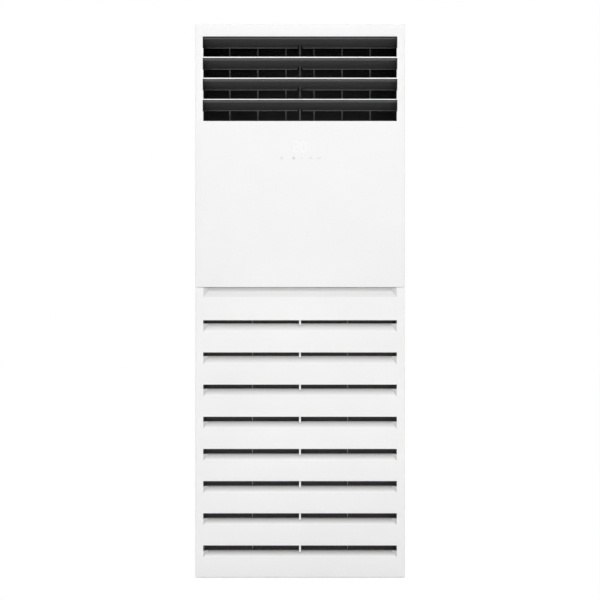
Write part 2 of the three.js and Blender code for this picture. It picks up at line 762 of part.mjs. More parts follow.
const DRAIN = [-300, -90];
const PAN_Z = COIL_Z - 34;
function drainPan() {
  const [low, high] = [PAN_Z, PAN_Z + 41];
  const trough = cut(
    box([-322, 322], [-136, -22], [low, high]),
    box([-319.5, 319.5], [-133.5, -24.5], [low + 2.5, high + 1]));
  const spigot = rod("z", [low - 9, low + 1], DRAIN, 9, 16);
  return cut(join(trough, spigot), rod("z", [low - 10, low + 4], DRAIN, 6.5, 16));
}

function drainHose() {
  const [x, y] = DRAIN;
  return pipe([[x, y, PAN_Z - 9 - GAP], [x, y, 46], [x, PIPE_END, 46]], 9, 40, 24, 6, 6.5);
}

// ---- electrics ----
const BOX_XS = [-90, 290];
const BOX_ZS = [50, 220];
function controlBox() {
  const shell = cut(
    box(BOX_XS, [-125, -20], BOX_ZS),
    box([BOX_XS[0] + SHEET, BOX_XS[1] - SHEET], [-126, -20 - SHEET], [BOX_ZS[0] + SHEET, BOX_ZS[1] - SHEET]));
  const legs = [BOX_XS[0], BOX_XS[1] - 20].map((x) => box([x, x + 20], [-100, -100 + SHEET], [2.8, 51]));
  const feet = [BOX_XS[0], BOX_XS[1] - 20].map((x) => box([x, x + 20], [-100, -80], [2.8, 2.8 + SHEET]));
  const cableHole = rod("y", [-25, -15], [250, 80], 12, 16);
  return cut(join(shell, legs, feet), cableHole);
}

function controlBoxCover() {
  const plate = box([BOX_XS[0] - 3, BOX_XS[1] + 3], [-127, -125.3], [BOX_ZS[0] - 3, BOX_ZS[1] + 3]);
  const lipOuter = box([BOX_XS[0] - 3, BOX_XS[1] + 3], [-126, -115], [BOX_ZS[0] - 3, BOX_ZS[1] + 3]);
  const lipInner = box([BOX_XS[0] - 1, BOX_XS[1] + 1], [-125.3, -110], [BOX_ZS[0] - 1, BOX_ZS[1] + 1]);
  return join(plate, cut(lipOuter, lipInner));
}

function controlBoard() {
  const board = box([-70, 150], [-34, -32], [66, 204]);
  const relays = [0, 1, 2].map((i) => box([-55 + 26 * i, -35 + 26 * i], [-52, -33], [180, 198]));
  const transformer = box([90, 135], [-74, -33], [150, 192]);
  const capacitor = rod("y", [-72, -33], [-30, 130], 17, 16);
  const heatSink = box([40, 80], [-64, -33], [90, 140]);
  const sockets = [0, 1, 2, 3].map((i) => box([-60 + 30 * i, -40 + 30 * i], [-44, -33], [72, 80]));
  const standoffs = [[-62, 74], [142, 74], [142, 198]].map(([x, z]) => rod("y", [-33, -21.8], [x, z], 3, 8));
  return join(board, relays, transformer, capacitor, heatSink, sockets, standoffs);
}

function terminalBlock() {
  const block = box([170, 270], [-46, -21.8], [110, 140]);
  const wells = [0, 1, 2, 3, 4].map((i) => box([174 + 19 * i, 190 + 19 * i], [-47, -36], [114, 136]));
  const screws = [0, 1, 2, 3, 4].map((i) => rod("y", [-41, -35], [182 + 19 * i, 125], 4, 8));
  return join(cut(block, wells), screws);
}

// ---- assembly ----
const unit = new THREE.Group();

function place(parent, [x, y, z], turnX = 0) {
  const group = new THREE.Group();
  group.position.set(x, y, z);
  group.rotation.x = THREE.MathUtils.degToRad(turnX);
  parent.add(group);
  return group;
}

const fixed = [
  ["base_pan", basePan(), COATED],
  ["rear_panel", rearPanel(), COATED],
  ["service_plate", servicePlate(), COATED],
  ["pipe_plate", pipePlate(), COATED],
  ["top_cover", topCover(), WHITE],
  ["wall_bracket", wallBracket(), ZINC],
  ["front_panel", frontPanel(), WHITE],
  ["front_crossbar", frontCrossbar(), ZINC],
  ["inner_front_plate", innerFrontPlate(), ZINC],
  ["fan_deck", fanDeck(), ZINC],
  ["display_module", displayModule(), BLACK],
  ["intake_grille", intakeGrille(), WHITE],
  ["outlet_frame", outletFrame(), BLACK],
  ["louver_motor", louvreMotor(), CREAM],
  ["vane_motor", vaneMotor(), CREAM],
  ["duct_liner", ductLiner(), FOAM],
  ["scroll_housing", scrollHousing(), ZINC],
  ["scroll_front_cover", scrollFrontCover(), ZINC],
  ["motor_bracket", motorBracket(), ZINC],
  ["gas_pipe", gasPipe(), COPPER],
  ["liquid_pipe", liquidPipe(), COPPER],
  ["flare_nut_gas", flareNut(-280, 95, 17, 11), BRASS],
  ["flare_nut_liquid", flareNut(-240, 70, 12, 7), BRASS],
  ["drain_pan", drainPan(), CREAM],
  ["drain_hose", drainHose(), CREAM],
  ["control_box", controlBox(), ZINC],
  ["control_box_cover", controlBoxCover(), ZINC],
  ["control_pcb", controlBoard(), BOARD],
  ["terminal_block", terminalBlock(), CREAM],
];
for (const [name, body, material] of fixed) unit.add(meshOf(name, body, material));

for (const side of [-1, 1]) {
  unit.add(meshOf("side_panel_" + sideName(side), sidePanel(side), COATED));
  unit.add(meshOf("catch_" + sideName(side), catchClip(side), BLACK));
  unit.add(meshOf("filter_" + sideName(side), filter(side), BLADE));
  unit.add(meshOf("louver_strip_" + sideName(side), louvreStrip(side), BLACK));
}

for (let k = 0; k < LOUVRES; k++) {
  const pivot = place(unit, [0, PIVOT_Y, pivotZ(k)], -LOUVRE_REST);
  pivot.add(meshOf("louver_blade_" + (k + 1), louvreBlade(), BLADE));
}
place(unit, [0, LINK_Y, pivotZ(0) - LINK_DROP]).add(meshOf("louver_link_bar", louvreLinkBar(), BLADE));

for (let i = 0; i < VANES; i++) {
  place(unit, [vaneX(i), VANE_Y, 0]).add(meshOf("vane_" + (i + 1), vane(), BLADE));
}
place(unit, [vaneX(0), VANE_Y + VANE_ROD, 0]).add(meshOf("vane_link_rod", vaneLinkRod(), BLADE));

const fan = place(unit, [0, 0, FAN_Z]);
fan.add(meshOf("inlet_ring", inletRing(), STEEL));
fan.add(meshOf("blower_wheel", blowerWheel(), WHEEL));
fan.add(meshOf("blower_hub", blowerHub(), FOIL));
fan.add(meshOf("blower_shaft", blowerShaft(), STEEL));
fan.add(meshOf("shaft_nut", shaftNut(), STEEL));
fan.add(meshOf("fan_motor", fanMotor(), STEEL));

const coil = place(unit, [0, COIL_Y, COIL_Z], -COIL_LEAN);
coil.add(meshOf("evaporator_fins_front", finPack(-32, -9.8), FOIL));
coil.add(meshOf("evaporator_fins_rear", finPack(6, 28.2), FOIL));
coil.add(meshOf("evaporator_tube", evaporatorTube(), COPPER));
for (const side of [-1, 1]) {
  coil.add(meshOf("tube_sheet_" + sideName(side), tubeSheet(side), ZINC));
}

export default unit;
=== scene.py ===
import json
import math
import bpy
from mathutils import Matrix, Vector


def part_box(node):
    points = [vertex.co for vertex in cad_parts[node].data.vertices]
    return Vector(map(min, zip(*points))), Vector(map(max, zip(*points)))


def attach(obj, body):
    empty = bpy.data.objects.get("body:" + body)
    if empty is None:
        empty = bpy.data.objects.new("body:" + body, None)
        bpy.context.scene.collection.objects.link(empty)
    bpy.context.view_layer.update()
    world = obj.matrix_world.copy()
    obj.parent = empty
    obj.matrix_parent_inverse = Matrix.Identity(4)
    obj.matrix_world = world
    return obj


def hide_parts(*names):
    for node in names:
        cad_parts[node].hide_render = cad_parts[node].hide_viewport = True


bl_info = {
    "name": "Floor Standing Air Conditioner",
    "version": (1, 0, 0),
    "blender": (4, 5, 0),
    "location": "View3D > Sidebar > Air Conditioner",
    "description": "Dresses the packed floor standing air conditioner with panels, louvres and finishes",
    "category": "Add Mesh",
}

import bmesh
import bpy
from bpy.props import FloatProperty, FloatVectorProperty, IntProperty, PointerProperty
from mathutils import Vector

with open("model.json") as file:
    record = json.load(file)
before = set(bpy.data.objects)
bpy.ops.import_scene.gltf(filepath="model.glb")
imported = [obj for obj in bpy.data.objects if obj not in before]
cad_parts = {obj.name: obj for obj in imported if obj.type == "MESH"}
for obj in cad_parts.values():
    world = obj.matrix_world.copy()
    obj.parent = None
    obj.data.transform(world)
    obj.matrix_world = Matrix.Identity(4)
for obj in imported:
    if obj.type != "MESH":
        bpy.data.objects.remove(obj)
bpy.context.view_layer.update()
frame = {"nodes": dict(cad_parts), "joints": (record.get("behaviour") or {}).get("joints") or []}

MM = 0.001
NEAR = 0.06  # millimetres, when faces are picked by their place
SKIN = 0.05  # how far the front of each shell stays behind the front of the CAD box


# ---- places, in millimetres ----


def corners(node):
    low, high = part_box(node)
    return low / MM, high / MM


def joint_place(name):
    return Vector(next(joint["pos_m"] for joint in frame["joints"] if joint["name"] == name)) / MM


UPPER_LOW, UPPER_HIGH = corners("front_panel")
LOWER_LOW, LOWER_HIGH = corners("intake_grille")
PIVOTS = [joint_place(f"louver_{k}_tilt") for k in (1, 2, 3, 4)]
FRONT = UPPER_LOW.y
HALF = UPPER_HIGH.x

# The slots, which the boxes of the frame don't give.
SLOT_HALF = 323.0
INTAKE_PITCH = 107.4
INTAKE_TOPS = [860.9 - INTAKE_PITCH * k for k in range(8)]
OUTLET_SPANS = [(1740.4, 1808.5), (1670.4, 1736.9), (1599.6, 1666.9), (1525.8, 1596.9)]
NOTCH_HEIGHT, NOTCH_WIDTH = 39, 2  # the wider upper part at both ends of an outlet slot
BAR_DEPTH = 9  # how far the bars between the outlet slots reach back
GRILLE_WALL_SHARE = 0.8  # the lower panel's wall, as a share of the upper one's
FILTER_FRONT, FILTER_BACK = -163.5, -156.5
# What is cut from the lower panel's foot, so that it clears the side sheets when it opens.
RELIEF_FRONT, RELIEF_BACK, RELIEF_TOP = -195, -150, 4


# ---- modelling ----


def activate(piece):
    bpy.ops.object.select_all(action="DESELECT")
    piece.select_set(True)
    bpy.context.view_layer.objects.active = piece


def settle(piece):
    activate(piece)
    bpy.ops.object.transform_apply(location=True, rotation=True, scale=True)
    return piece


def add_block(name, low, high):
    """Adds a cube between two corners, as the start of a piece."""
    bpy.ops.object.select_all(action="DESELECT")
    low, high = Vector(low), Vector(high)
    bpy.ops.mesh.primitive_cube_add(size=1, location=(low + high) / 2 * MM, scale=(high - low) * MM)
    piece = bpy.context.object
    piece.name = piece.data.name = name
    return settle(piece)


def mirrored_block(name, side, xs, ys, zs):
    """Adds a cube at one side (-1 or 1), with its limits given for the right one."""
    x_low, x_high = sorted((side * xs[0], side * xs[1]))
    return add_block(name, (x_low, ys[0], zs[0]), (x_high, ys[1], zs[1]))


def add_rod(name, start, end, radius, sides=16):
    """Adds a cylinder between two points, as the start of a piece."""
    bpy.ops.object.select_all(action="DESELECT")
    start, end = Vector(start), Vector(end)
    along = end - start
    bpy.ops.mesh.primitive_cylinder_add(
        vertices=sides,
        radius=radius * MM,
        depth=along.length * MM,
        location=(start + end) / 2 * MM,
        rotation=along.to_track_quat("Z", "Y").to_euler(),
    )
    piece = bpy.context.object
    piece.name = piece.data.name = name
    return settle(piece)


def copy_of(model, name):
    """Copies a piece with a mesh of its own."""
    copy = model.copy()
    copy.data = model.data.copy()
    copy.name = copy.data.name = name
    bpy.context.collection.objects.link(copy)
    return copy


def edit(piece):
    activate(piece)
    bpy.ops.object.mode_set(mode="EDIT")


def leave():
    bpy.ops.object.mode_set(mode="OBJECT")


def pick(piece, kind, test, narrow=False):
    """Selects the vertices, edges or faces whose middle, in millimetres, passes the test."""
    bpy.context.tool_settings.mesh_select_mode = (kind == "VERT", kind == "EDGE", kind == "FACE")
    mesh = bmesh.from_edit_mesh(piece.data)
    elements = {"VERT": mesh.verts, "EDGE": mesh.edges, "FACE": mesh.faces}[kind]
    chosen = []
    for element in elements:
        if narrow and not element.select:
            continue
        if kind == "VERT":
            middle = element.co / MM
        elif kind == "EDGE":
            middle = (element.verts[0].co + element.verts[1].co) / 2 / MM
        else:
            middle = element.calc_center_median() / MM
        if test(middle, element):
            chosen.append(element)
    if not chosen:
        raise RuntimeError(f"{piece.name}: nothing was picked")
    for group in (mesh.faces, mesh.edges, mesh.verts):
        for element in group:
            element.select = False
    mesh.select_mode = {kind}
    for element in chosen:
        element.select_set(True)
    mesh.select_flush_mode()
    bmesh.update_edit_mesh(piece.data)


def faces_front(middle, face):
    return face.normal.y < -0.9


def slice_at(piece, axis, value, test=None):
    """Cuts new edges across the picked faces at one place along an axis."""
    if test:
        pick(piece, "FACE", test)
    else:
        bpy.ops.mesh.select_all(action="SELECT")
    normal = Vector((axis == "x", axis == "y", axis == "z"))
    bpy.ops.mesh.bisect(plane_co=normal * value * MM, plane_no=normal)


def drop_faces(piece, test):
    pick(piece, "FACE", test)
    bpy.ops.mesh.delete(type="FACE")


def shift(x=0.0, y=0.0, z=0.0):
    bpy.ops.transform.translate(value=(x * MM, y * MM, z * MM))


def use_finish(piece, index, test):
    """Puts another of the piece's finishes on the picked faces."""
    pick(piece, "FACE", test)
    piece.active_material_index = index
    bpy.ops.object.material_slot_assign()


def merge_doubles():
    bpy.ops.mesh.select_all(action="SELECT")
    bpy.ops.mesh.remove_doubles(threshold=0.01 * MM)


def finish_with(piece, kind, **settings):
    """Adds one modifier and applies it."""
    activate(piece)
    modifier = piece.modifiers.new(kind.title(), kind)
    for key, value in settings.items():
        setattr(modifier, key, value)
    bpy.ops.object.modifier_apply(modifier=modifier.name)


def soften(piece, width, segments=2, angle=35.0):
    """Rounds the sharp edges and shades the piece."""
    finish_with(
        piece,
        "BEVEL",
        width=width * MM,
        segments=segments,
        limit_method="ANGLE",
        angle_limit=math.radians(angle),
        use_clamp_overlap=True,
    )
    smooth(piece)


def smooth(piece, angle=40.0):
    activate(piece)
    bpy.ops.object.shade_smooth_by_angle(angle=math.radians(angle))


def join(name, pieces):
    bpy.ops.object.select_all(action="DESELECT")
    for piece in pieces:
        piece.select_set(True)
    bpy.context.view_layer.objects.active = pieces[0]
    bpy.ops.object.join()
    piece = bpy.context.object
    piece.name = piece.data.name = name
    return piece


def coat(piece, *finishes):
    for finish in finishes:
        piece.data.materials.append(FINISHES[finish])
    return piece


def dress(piece, body, slot, *replaced):
    """Gives a piece its body and hides the nodes it stands for; the slot is not used."""
    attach(piece, body)
    if replaced:
        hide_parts(*replaced)
    return piece


# ---- node groups and finishes ----


def grey(value):
    return (value, value, value, 1)


def feed(tree, socket, given):
    """Sets a value on a socket, or links another socket to it."""
    if isinstance(given, bpy.types.NodeSocket):
        tree.links.new(given, socket)
    else:
        socket.default_value = given


def new_group(name, inputs, outputs):
    """Starts a shader node group; returns it with the sockets of its input and output nodes."""
    group = bpy.data.node_groups.new(name, "ShaderNodeTree")
    for label, value in inputs.items():
        kind = "NodeSocketFloat" if isinstance(value, float) else "NodeSocketColor"
        group.interface.new_socket(label, in_out="INPUT", socket_type=kind).default_value = value
    for label in outputs:
        kind = "NodeSocketColor" if label == "Colour" else "NodeSocketFloat"
        group.interface.new_socket(label, in_out="OUTPUT", socket_type=kind)
    return group, group.nodes.new("NodeGroupInput").outputs, group.nodes.new("NodeGroupOutput").inputs


def put_out(group, made, **sockets):
    for label, socket in sockets.items():
        group.links.new(socket, made[label])
    return group


def object_place(group):
    return group.nodes.new("ShaderNodeTexCoord").outputs["Object"]


def object_axes(group):
    axes = group.nodes.new("ShaderNodeSeparateXYZ")
    group.links.new(object_place(group), axes.inputs["Vector"])
    return axes.outputs


def object_noise(group, scale, detail=2.0, roughness=0.5):
    noise = group.nodes.new("ShaderNodeTexNoise")
    group.links.new(object_place(group), noise.inputs["Vector"])
    feed(group, noise.inputs["Scale"], scale)
    noise.inputs["Detail"].default_value = detail
    noise.inputs["Roughness"].default_value = roughness
    return noise.outputs["Fac"]


def calculated(tree, operation, first, second):
    """A Math node of two values."""
    node = tree.nodes.new("ShaderNodeMath")
    node.operation = operation
    feed(tree, node.inputs[0], first)
    feed(tree, node.inputs[1], second)
    return node.outputs["Value"]


def ranged(group, value, low, high, to_low, to_high):
    """A Map Range node."""
    node = group.nodes.new("ShaderNodeMapRange")
    for socket, given in zip(node.inputs[:5], (value, low, high, to_low, to_high)):
        feed(group, socket, given)
    return node.outputs["Result"]


def mixed(group, factor, first, second):
    node = group.nodes.new("ShaderNodeMix")
    node.data_type = "RGBA"
    group.links.new(factor, node.inputs["Factor"])
    group.links.new(first, node.inputs["A"])
    group.links.new(second, node.inputs["B"])
    return node.outputs["Result"]


def moulded_surface():
    """Fine spark-eroded grain with a slow drift of tone and gloss."""
    group, given, made = new_group(
        "moulded_surface",
        {
            "Colour": grey(0.8), "Shade": grey(0.7), "Grain Scale": 900.0, "Drift Scale": 3.0,
            "Smooth Gloss": 0.35, "Dull Gloss": 0.5,
        },
        ("Colour", "Roughness", "Height"),
    )
    drift = object_noise(group, given["Drift Scale"], 3.0)
    tone = ranged(group, drift, 0.3, 0.7, 0.0, 1.0)
    return put_out(
        group, made,
        Colour=mixed(group, tone, given["Colour"], given["Shade"]),
        Roughness=ranged(group, drift, 0.3, 0.7, given["Smooth Gloss"], given["Dull Gloss"]),
        Height=object_noise(group, given["Grain Scale"], 1.0),
    )


def rolled_sheet():
    """Crystal patches of zinc over fine grain."""
    group, given, made = new_group(
        "rolled_sheet",
        {"Colour": grey(0.6), "Shade": grey(0.4), "Patch Scale": 90.0, "Smooth Gloss": 0.3, "Dull Gloss": 0.5},
        ("Colour", "Roughness", "Height"),
    )
    cells = group.nodes.new("ShaderNodeTexVoronoi")
    group.links.new(object_place(group), cells.inputs["Vector"])
    group.links.new(given["Patch Scale"], cells.inputs["Scale"])
    patch = group.nodes.new("ShaderNodeSeparateColor")
    group.links.new(cells.outputs["Color"], patch.inputs["Color"])
    return put_out(
        group, made,
        Colour=mixed(group, patch.outputs["Red"], given["Colour"], given["Shade"]),
        Roughness=ranged(group, patch.outputs["Green"], 0.0, 1.0, given["Smooth Gloss"], given["Dull Gloss"]),
        Height=object_noise(group, 700.0, 1.0),
    )


def striped_surface():
    """Even parallel lines along one axis or two, for fins and nets."""
    group, given, made = new_group(
        "striped_surface",
        {"Colour": grey(0.8), "Shade": grey(0.3), "Across X": 500.0, "Across Z": 500.0, "Line Share": 0.6},
        ("Colour", "Height"),
    )
    axes = object_axes(group)
    waves = [
        calculated(group, "PINGPONG", calculated(group, "MULTIPLY", axes[axis], given[f"Across {axis}"]), 1.0)
        for axis in "XZ"
    ]
    edge = calculated(group, "ADD", given["Line Share"], 0.2)
    line = ranged(group, calculated(group, "MAXIMUM", *waves), given["Line Share"], edge, 0.0, 1.0)
    return put_out(group, made, Colour=mixed(group, line, given["Shade"], given["Colour"]), Height=line)


def patina():
    """Darker patches and fine grain for bare tube and machined metal."""
    group, given, made = new_group(
        "patina",
        {
            "Colour": (0.8, 0.5, 0.3, 1), "Shade": (0.4, 0.2, 0.1, 1), "Patch Scale": 25.0,
            "Smooth Gloss": 0.2, "Dull Gloss": 0.5,
        },
        ("Colour", "Roughness", "Height"),
    )
    patch = object_noise(group, given["Patch Scale"], 5.0, 0.65)
    stain = ranged(group, patch, 0.42, 0.68, 0.0, 1.0)
    return put_out(
        group, made,
        Colour=mixed(group, stain, given["Colour"], given["Shade"]),
        Roughness=ranged(group, patch, 0.35, 0.7, given["Smooth Gloss"], given["Dull Gloss"]),
        Height=object_noise(group, 1200.0, 1.0),
    )


def painted_depth_shade():
    """Paints shade into a colour with depth behind a front face, more so toward the floor, standing in for the
    shadow in recesses.
    """
    group, given, made = new_group(
        "painted_depth_shade",
        {
            "Colour": grey(0.8), "Shade": grey(0.1), "Start": -0.197, "End": -0.184, "Foot Share": 0.6,
            "Head Share": 0.2,
        },
        ("Colour",),
    )
    axes = object_axes(group)
    depth = ranged(group, axes["Y"], given["Start"], given["End"], 0.0, 1.0)
    share = ranged(group, axes["Z"], 0.1, 0.9, given["Foot Share"], given["Head Share"])
    both = calculated(group, "MULTIPLY", depth, share)
    return put_out(group, made, Colour=mixed(group, both, given["Colour"], given["Shade"]))


GROUPS = {}


def shared_group(maker):
    if maker.__name__ not in GROUPS:
        GROUPS[maker.__name__] = maker()
    return GROUPS[maker.__name__]


def new_finish(name, maker, bump, depth, metallic=0.0, roughness=None, **values):
    """A material whose colour, gloss and bump come from one shared group."""
    made = bpy.data.materials.new(name)
    made.use_nodes = True
    tree = made.node_tree
    shader = tree.nodes["Principled BSDF"]
    surface = tree.nodes.new("ShaderNodeGroup")
    surface.node_tree = shared_group(maker)
    for label, value in values.items():
        surface.inputs[label.replace("_", " ").title()].default_value = value
    tree.links.new(surface.outputs["Colour"], shader.inputs["Base Color"])
    if roughness is None:
        tree.links.new(surface.outputs["Roughness"], shader.inputs["Roughness"])
    else:
        shader.inputs["Roughness"].default_value = roughness
    shader.inputs["Metallic"].default_value = metallic
    raised = tree.nodes.new("ShaderNodeBump")
    raised.inputs["Strength"].default_value = bump
    raised.inputs["Distance"].default_value = depth * MM
    tree.links.new(surface.outputs["Height"], raised.inputs["Height"])
    tree.links.new(raised.outputs["Normal"], shader.inputs["Normal"])
    return made


def tinted(colour, share):
    return (*[channel * share for channel in colour[:3]], 1)


def moulded(name, colour, gloss, grain=900.0, shade=0.97, bump=0.12, depth=0.05):
    return new_finish(
        name,
        moulded_surface,
        bump,
        depth,
        colour=(*colour[:3], 1),
        shade=tinted(colour, shade),
        grain_scale=grain,
        smooth_gloss=gloss - 0.05,
        dull_gloss=gloss + 0.06,
    )


def paint_shade_with_depth(finish, start, foot, head):
    """Passes a finish's colour through the painted depth shade, which is full at the shade reach behind its
    start.
    """
    tree = finish.node_tree
    shader = tree.nodes["Principled BSDF"]
    surface = shader.inputs["Base Color"].links[0].from_socket
    shade = tree.nodes.new("ShaderNodeGroup")
    shade.node_tree = shared_group(painted_depth_shade)
    shade.inputs["Start"].default_value = start * MM
    shade.inputs["End"].default_value = (start + PAINTED_SHADE_REACH) * MM
    shade.inputs["Foot Share"].default_value = foot
    shade.inputs["Head Share"].default_value = head
    tree.links.new(surface, shade.inputs["Colour"])
    tree.links.new(shade.outputs["Colour"], shader.inputs["Base Color"])


# Millimetres behind its start at which the painted shade is full.
PAINTED_SHADE_REACH = 13
FINISHES = {}


def make_finishes(colours):
    white = colours.moulded_white
    # Name, colour and gloss; then grain scale, shade share, bump and bump depth where they differ.
    for name, colour, *look in (
        ("white_moulded", white, 0.42),
        # The next white, lighter than the panel, is a painted highlight on the outlet bars.
        ("white_edge", colours.painted_highlight_white, 0.4),
        # The next three whites darken with depth as painted shade in the recesses.
        ("white_recess", white, 0.48),
        ("white_grip", white, 0.48),
        ("white_mitre", white, 0.48),
        ("painted_steel", colours.painted_steel, 0.4, 450.0, 0.975, 0.25, 0.08),
        ("louvre_grey", colours.louvre_grey, 0.46, 700.0, 0.9, 0.2, 0.06),
        # The next grey is a painted highlight on the blades' rims, and the filter ribs' lighter grey.
        ("louvre_rim", grey(0.2), 0.4, 700.0, 0.95),
        ("vane_grey", grey(0.12), 0.5, 700.0, 0.92),
        ("rubber_black", grey(0.02), 0.75, 350.0, 0.8),
        ("inner_black", colours.inner_black, 0.6, 600.0, 0.8),
        ("wheel_plastic", grey(0.045), 0.5, 500.0, 0.85),
        ("cream_plastic", (0.75, 0.72, 0.62), 0.5, 500.0, 0.95),
        ("hose_grey", grey(0.45), 0.6, 300.0, 0.85),
        ("board_green", (0.02, 0.14, 0.06), 0.35, 220.0, 0.6),
        ("black_foam", grey(0.05), 0.9, 260.0, 0.6, 0.8, 0.5),
        ("display_mark", grey(0.66), 0.5, 700.0, 0.96),
        # The digits' grey, lighter than the panel, is painted light for the display shining through.
        ("display_light", grey(0.93), 0.4, 700.0, 0.98),
    ):
        FINISHES[name] = moulded(name, colour, *look)
    # Painted shade: the intake ramps, the grip and the mitred ends darken behind the front face.
    paint_shade_with_depth(FINISHES["white_recess"], FRONT + 3, 0.68, 0.2)
    paint_shade_with_depth(FINISHES["white_grip"], FRONT - 8, 0.15, 0.15)
    paint_shade_with_depth(FINISHES["white_mitre"], FRONT - 10, 0.4, 0.3)
    # Name, group, bump, bump depth, metallic, colour, shade, patch scale, smooth and dull gloss.
    for name, maker, bump, depth, metallic, colour, shade, scale, smooth, dull in (
        ("zinc_sheet", rolled_sheet, 0.1, 0.05, 0.85, grey(0.52), grey(0.38), 110.0, 0.34, 0.52),
        ("machined_steel", patina, 0.08, 0.03, 1.0, grey(0.62), grey(0.45), 60.0, 0.22, 0.4),
        ("motor_shell", patina, 0.15, 0.06, 0.9, grey(0.5), grey(0.33), 30.0, 0.35, 0.55),
        ("copper_tube", patina, 0.1, 0.04, 1.0, (0.78, 0.36, 0.2, 1), (0.42, 0.17, 0.09, 1), 22.0, 0.2, 0.48),
        ("brass_nut", patina, 0.1, 0.04, 1.0, (0.78, 0.58, 0.22, 1), (0.5, 0.34, 0.12, 1), 45.0, 0.2, 0.4),
    ):
        FINISHES[name] = new_finish(
            name, maker, bump, depth, metallic, colour=colour, shade=shade, patch_scale=scale,
            smooth_gloss=smooth, dull_gloss=dull,
        )
    # Name, bump, bump depth, metallic, roughness, colour, shade, lines per metre in X and Z, line share.
    for name, bump, depth, metallic, roughness, colour, shade, across_x, across_z, line_share in (
        ("fin_foil", 0.6, 0.4, 0.9, 0.35, grey(0.7), grey(0.3), 900.0, 0.0, 0.3),
        ("filter_net", 0.7, 0.3, 0.0, 0.65, grey(0.05), grey(0.012), 900.0, 900.0, 0.6),
    ):
        FINISHES[name] = new_finish(
            name, striped_surface, bump, depth, metallic, roughness, colour=colour, shade=shade,
            across_x=across_x, across_z=across_z, line_share=line_share,
        )


NODE_FINISHES = {
    "white_moulded": ["top_cover"],
    "painted_steel": [
        "side_panel_left", "side_panel_right", "rear_panel", "service_plate", "pipe_plate", "base_pan",
    ],
    "zinc_sheet": [
        "wall_bracket", "front_crossbar", "inner_front_plate", "fan_deck", "scroll_housing",
        "scroll_front_cover", "motor_bracket", "tube_sheet_left", "tube_sheet_right", "control_box",
        "control_box_cover",
    ],
    "inner_black": [
        "outlet_frame", "louver_strip_left", "louver_strip_right", "catch_left", "catch_right",
        "display_module", "louver_link_bar",
    ],
    "vane_grey": [f"vane_{i}" for i in range(1, 7)],
    "louvre_grey": ["vane_link_rod"],
    "filter_net": ["filter_left", "filter_right"],
    "wheel_plastic": ["blower_wheel"],
    "machined_steel": ["blower_shaft", "shaft_nut", "inlet_ring"],
    "motor_shell": ["fan_motor", "blower_hub"],
    "fin_foil": ["evaporator_fins_front", "evaporator_fins_rear"],
    "copper_tube": ["evaporator_tube", "gas_pipe", "liquid_pipe"],
    "brass_nut": ["flare_nut_gas", "flare_nut_liquid"],
    "cream_plastic": ["drain_pan", "louver_motor", "vane_motor", "terminal_block"],
    "hose_grey": ["drain_hose"],
    "board_green": ["control_pcb"],
    "black_foam": ["duct_liner"],
}


# ---- sizes and colours a user would change ----


def colour_property(name, description, default):
    return FloatVectorProperty(
        name=name, description=description, default=default, min=0.0, max=1.0, size=3, subtype="COLOR"
    )


def length_property(name, description, default):
    return FloatProperty(
        name=name, description=description, default=default * MM, min=0.0, unit="LENGTH", subtype="DISTANCE"
    )


class AIRCON_PG_panels(bpy.types.PropertyGroup):
    """Sizes of the two moulded front panels."""

    wall: length_property("Wall", "Thickness of the moulded panels", 3.0)
    corner: length_property("Corner", "Radius of the long front edges", 3.0)
    edge: length_property("Edge", "Rounding of every other edge", 0.5)
    ramp_lean: FloatProperty(
        name="Ramp Lean",
        description="Slope of the ramps under the slots",
        default=math.atan(22 / 29),
        subtype="ANGLE",
    )
    ramp_height: length_property("Ramp Height", "Height of an intake slot and its ramp", 40.0)
    gap_heights: FloatVectorProperty(
        name="Gap Heights",
        description="Open height of each intake slot, from the top one down",
        default=[gap * MM for gap in (11.5, 13.0, 14.9, 16.9, 17.9, 18.0, 18.3, 18.5)],
        size=8,
        unit="LENGTH",
    )
    tunnel_depth: length_property("Tunnel Depth", "How far the intake slots reach back", 36.5)
    grip_depth: length_property("Grip Depth", "Depth of the finger recess", 18.0)
    grip_height: length_property("Grip Height", "Height of the finger recess", 31.9)


class AIRCON_PG_outlet(bpy.types.PropertyGroup):
    """Sizes of the louvre blades."""

    chord: length_property("Chord", "Depth of a blade from its pivot to its rear edge", 58.0)
    arch: length_property("Arch", "Half width of the arch over the link bar", 8.0)
    rest_tilt: FloatProperty(
        name="Rest Tilt", description="Slope of the open blades", default=math.radians(23.4), subtype="ANGLE"
    )


class AIRCON_PG_display(bpy.types.PropertyGroup):
    """Sizes of the marks on the display."""

    digit_height: length_property("Digit Height", "Height of the two digits", 33.0)
    digit_width: length_property("Digit Width", "Width of one digit", 15.0)
    stroke: length_property("Stroke", "Width of a segment", 3.0)
    shown: IntProperty(name="Shown", description="The number on the display", default=20, min=0, max=99)


class AIRCON_PG_colours(bpy.types.PropertyGroup):
    """Colours of the visible surfaces."""

    moulded_white: colour_property("Moulded White", "Both front panels and the lid", (0.87, 0.87, 0.868))
    # A whiter colour for the outlet bars: a painted highlight.
    painted_highlight_white: colour_property("Painted Highlight White", "Rims and bars beside the dark slots", (0.94, 0.94, 0.94))
    painted_steel: colour_property("Painted Steel", "Side and rear sheets", (0.84, 0.84, 0.835))
    louvre_grey: colour_property("Louvre Grey", "Blades and vanes", (0.078, 0.078, 0.08))
    # This black is also painted on the intake slots' end walls as painted shade.
    inner_black: colour_property("Inner Black", "Outlet frame and strips", (0.038, 0.038, 0.038))


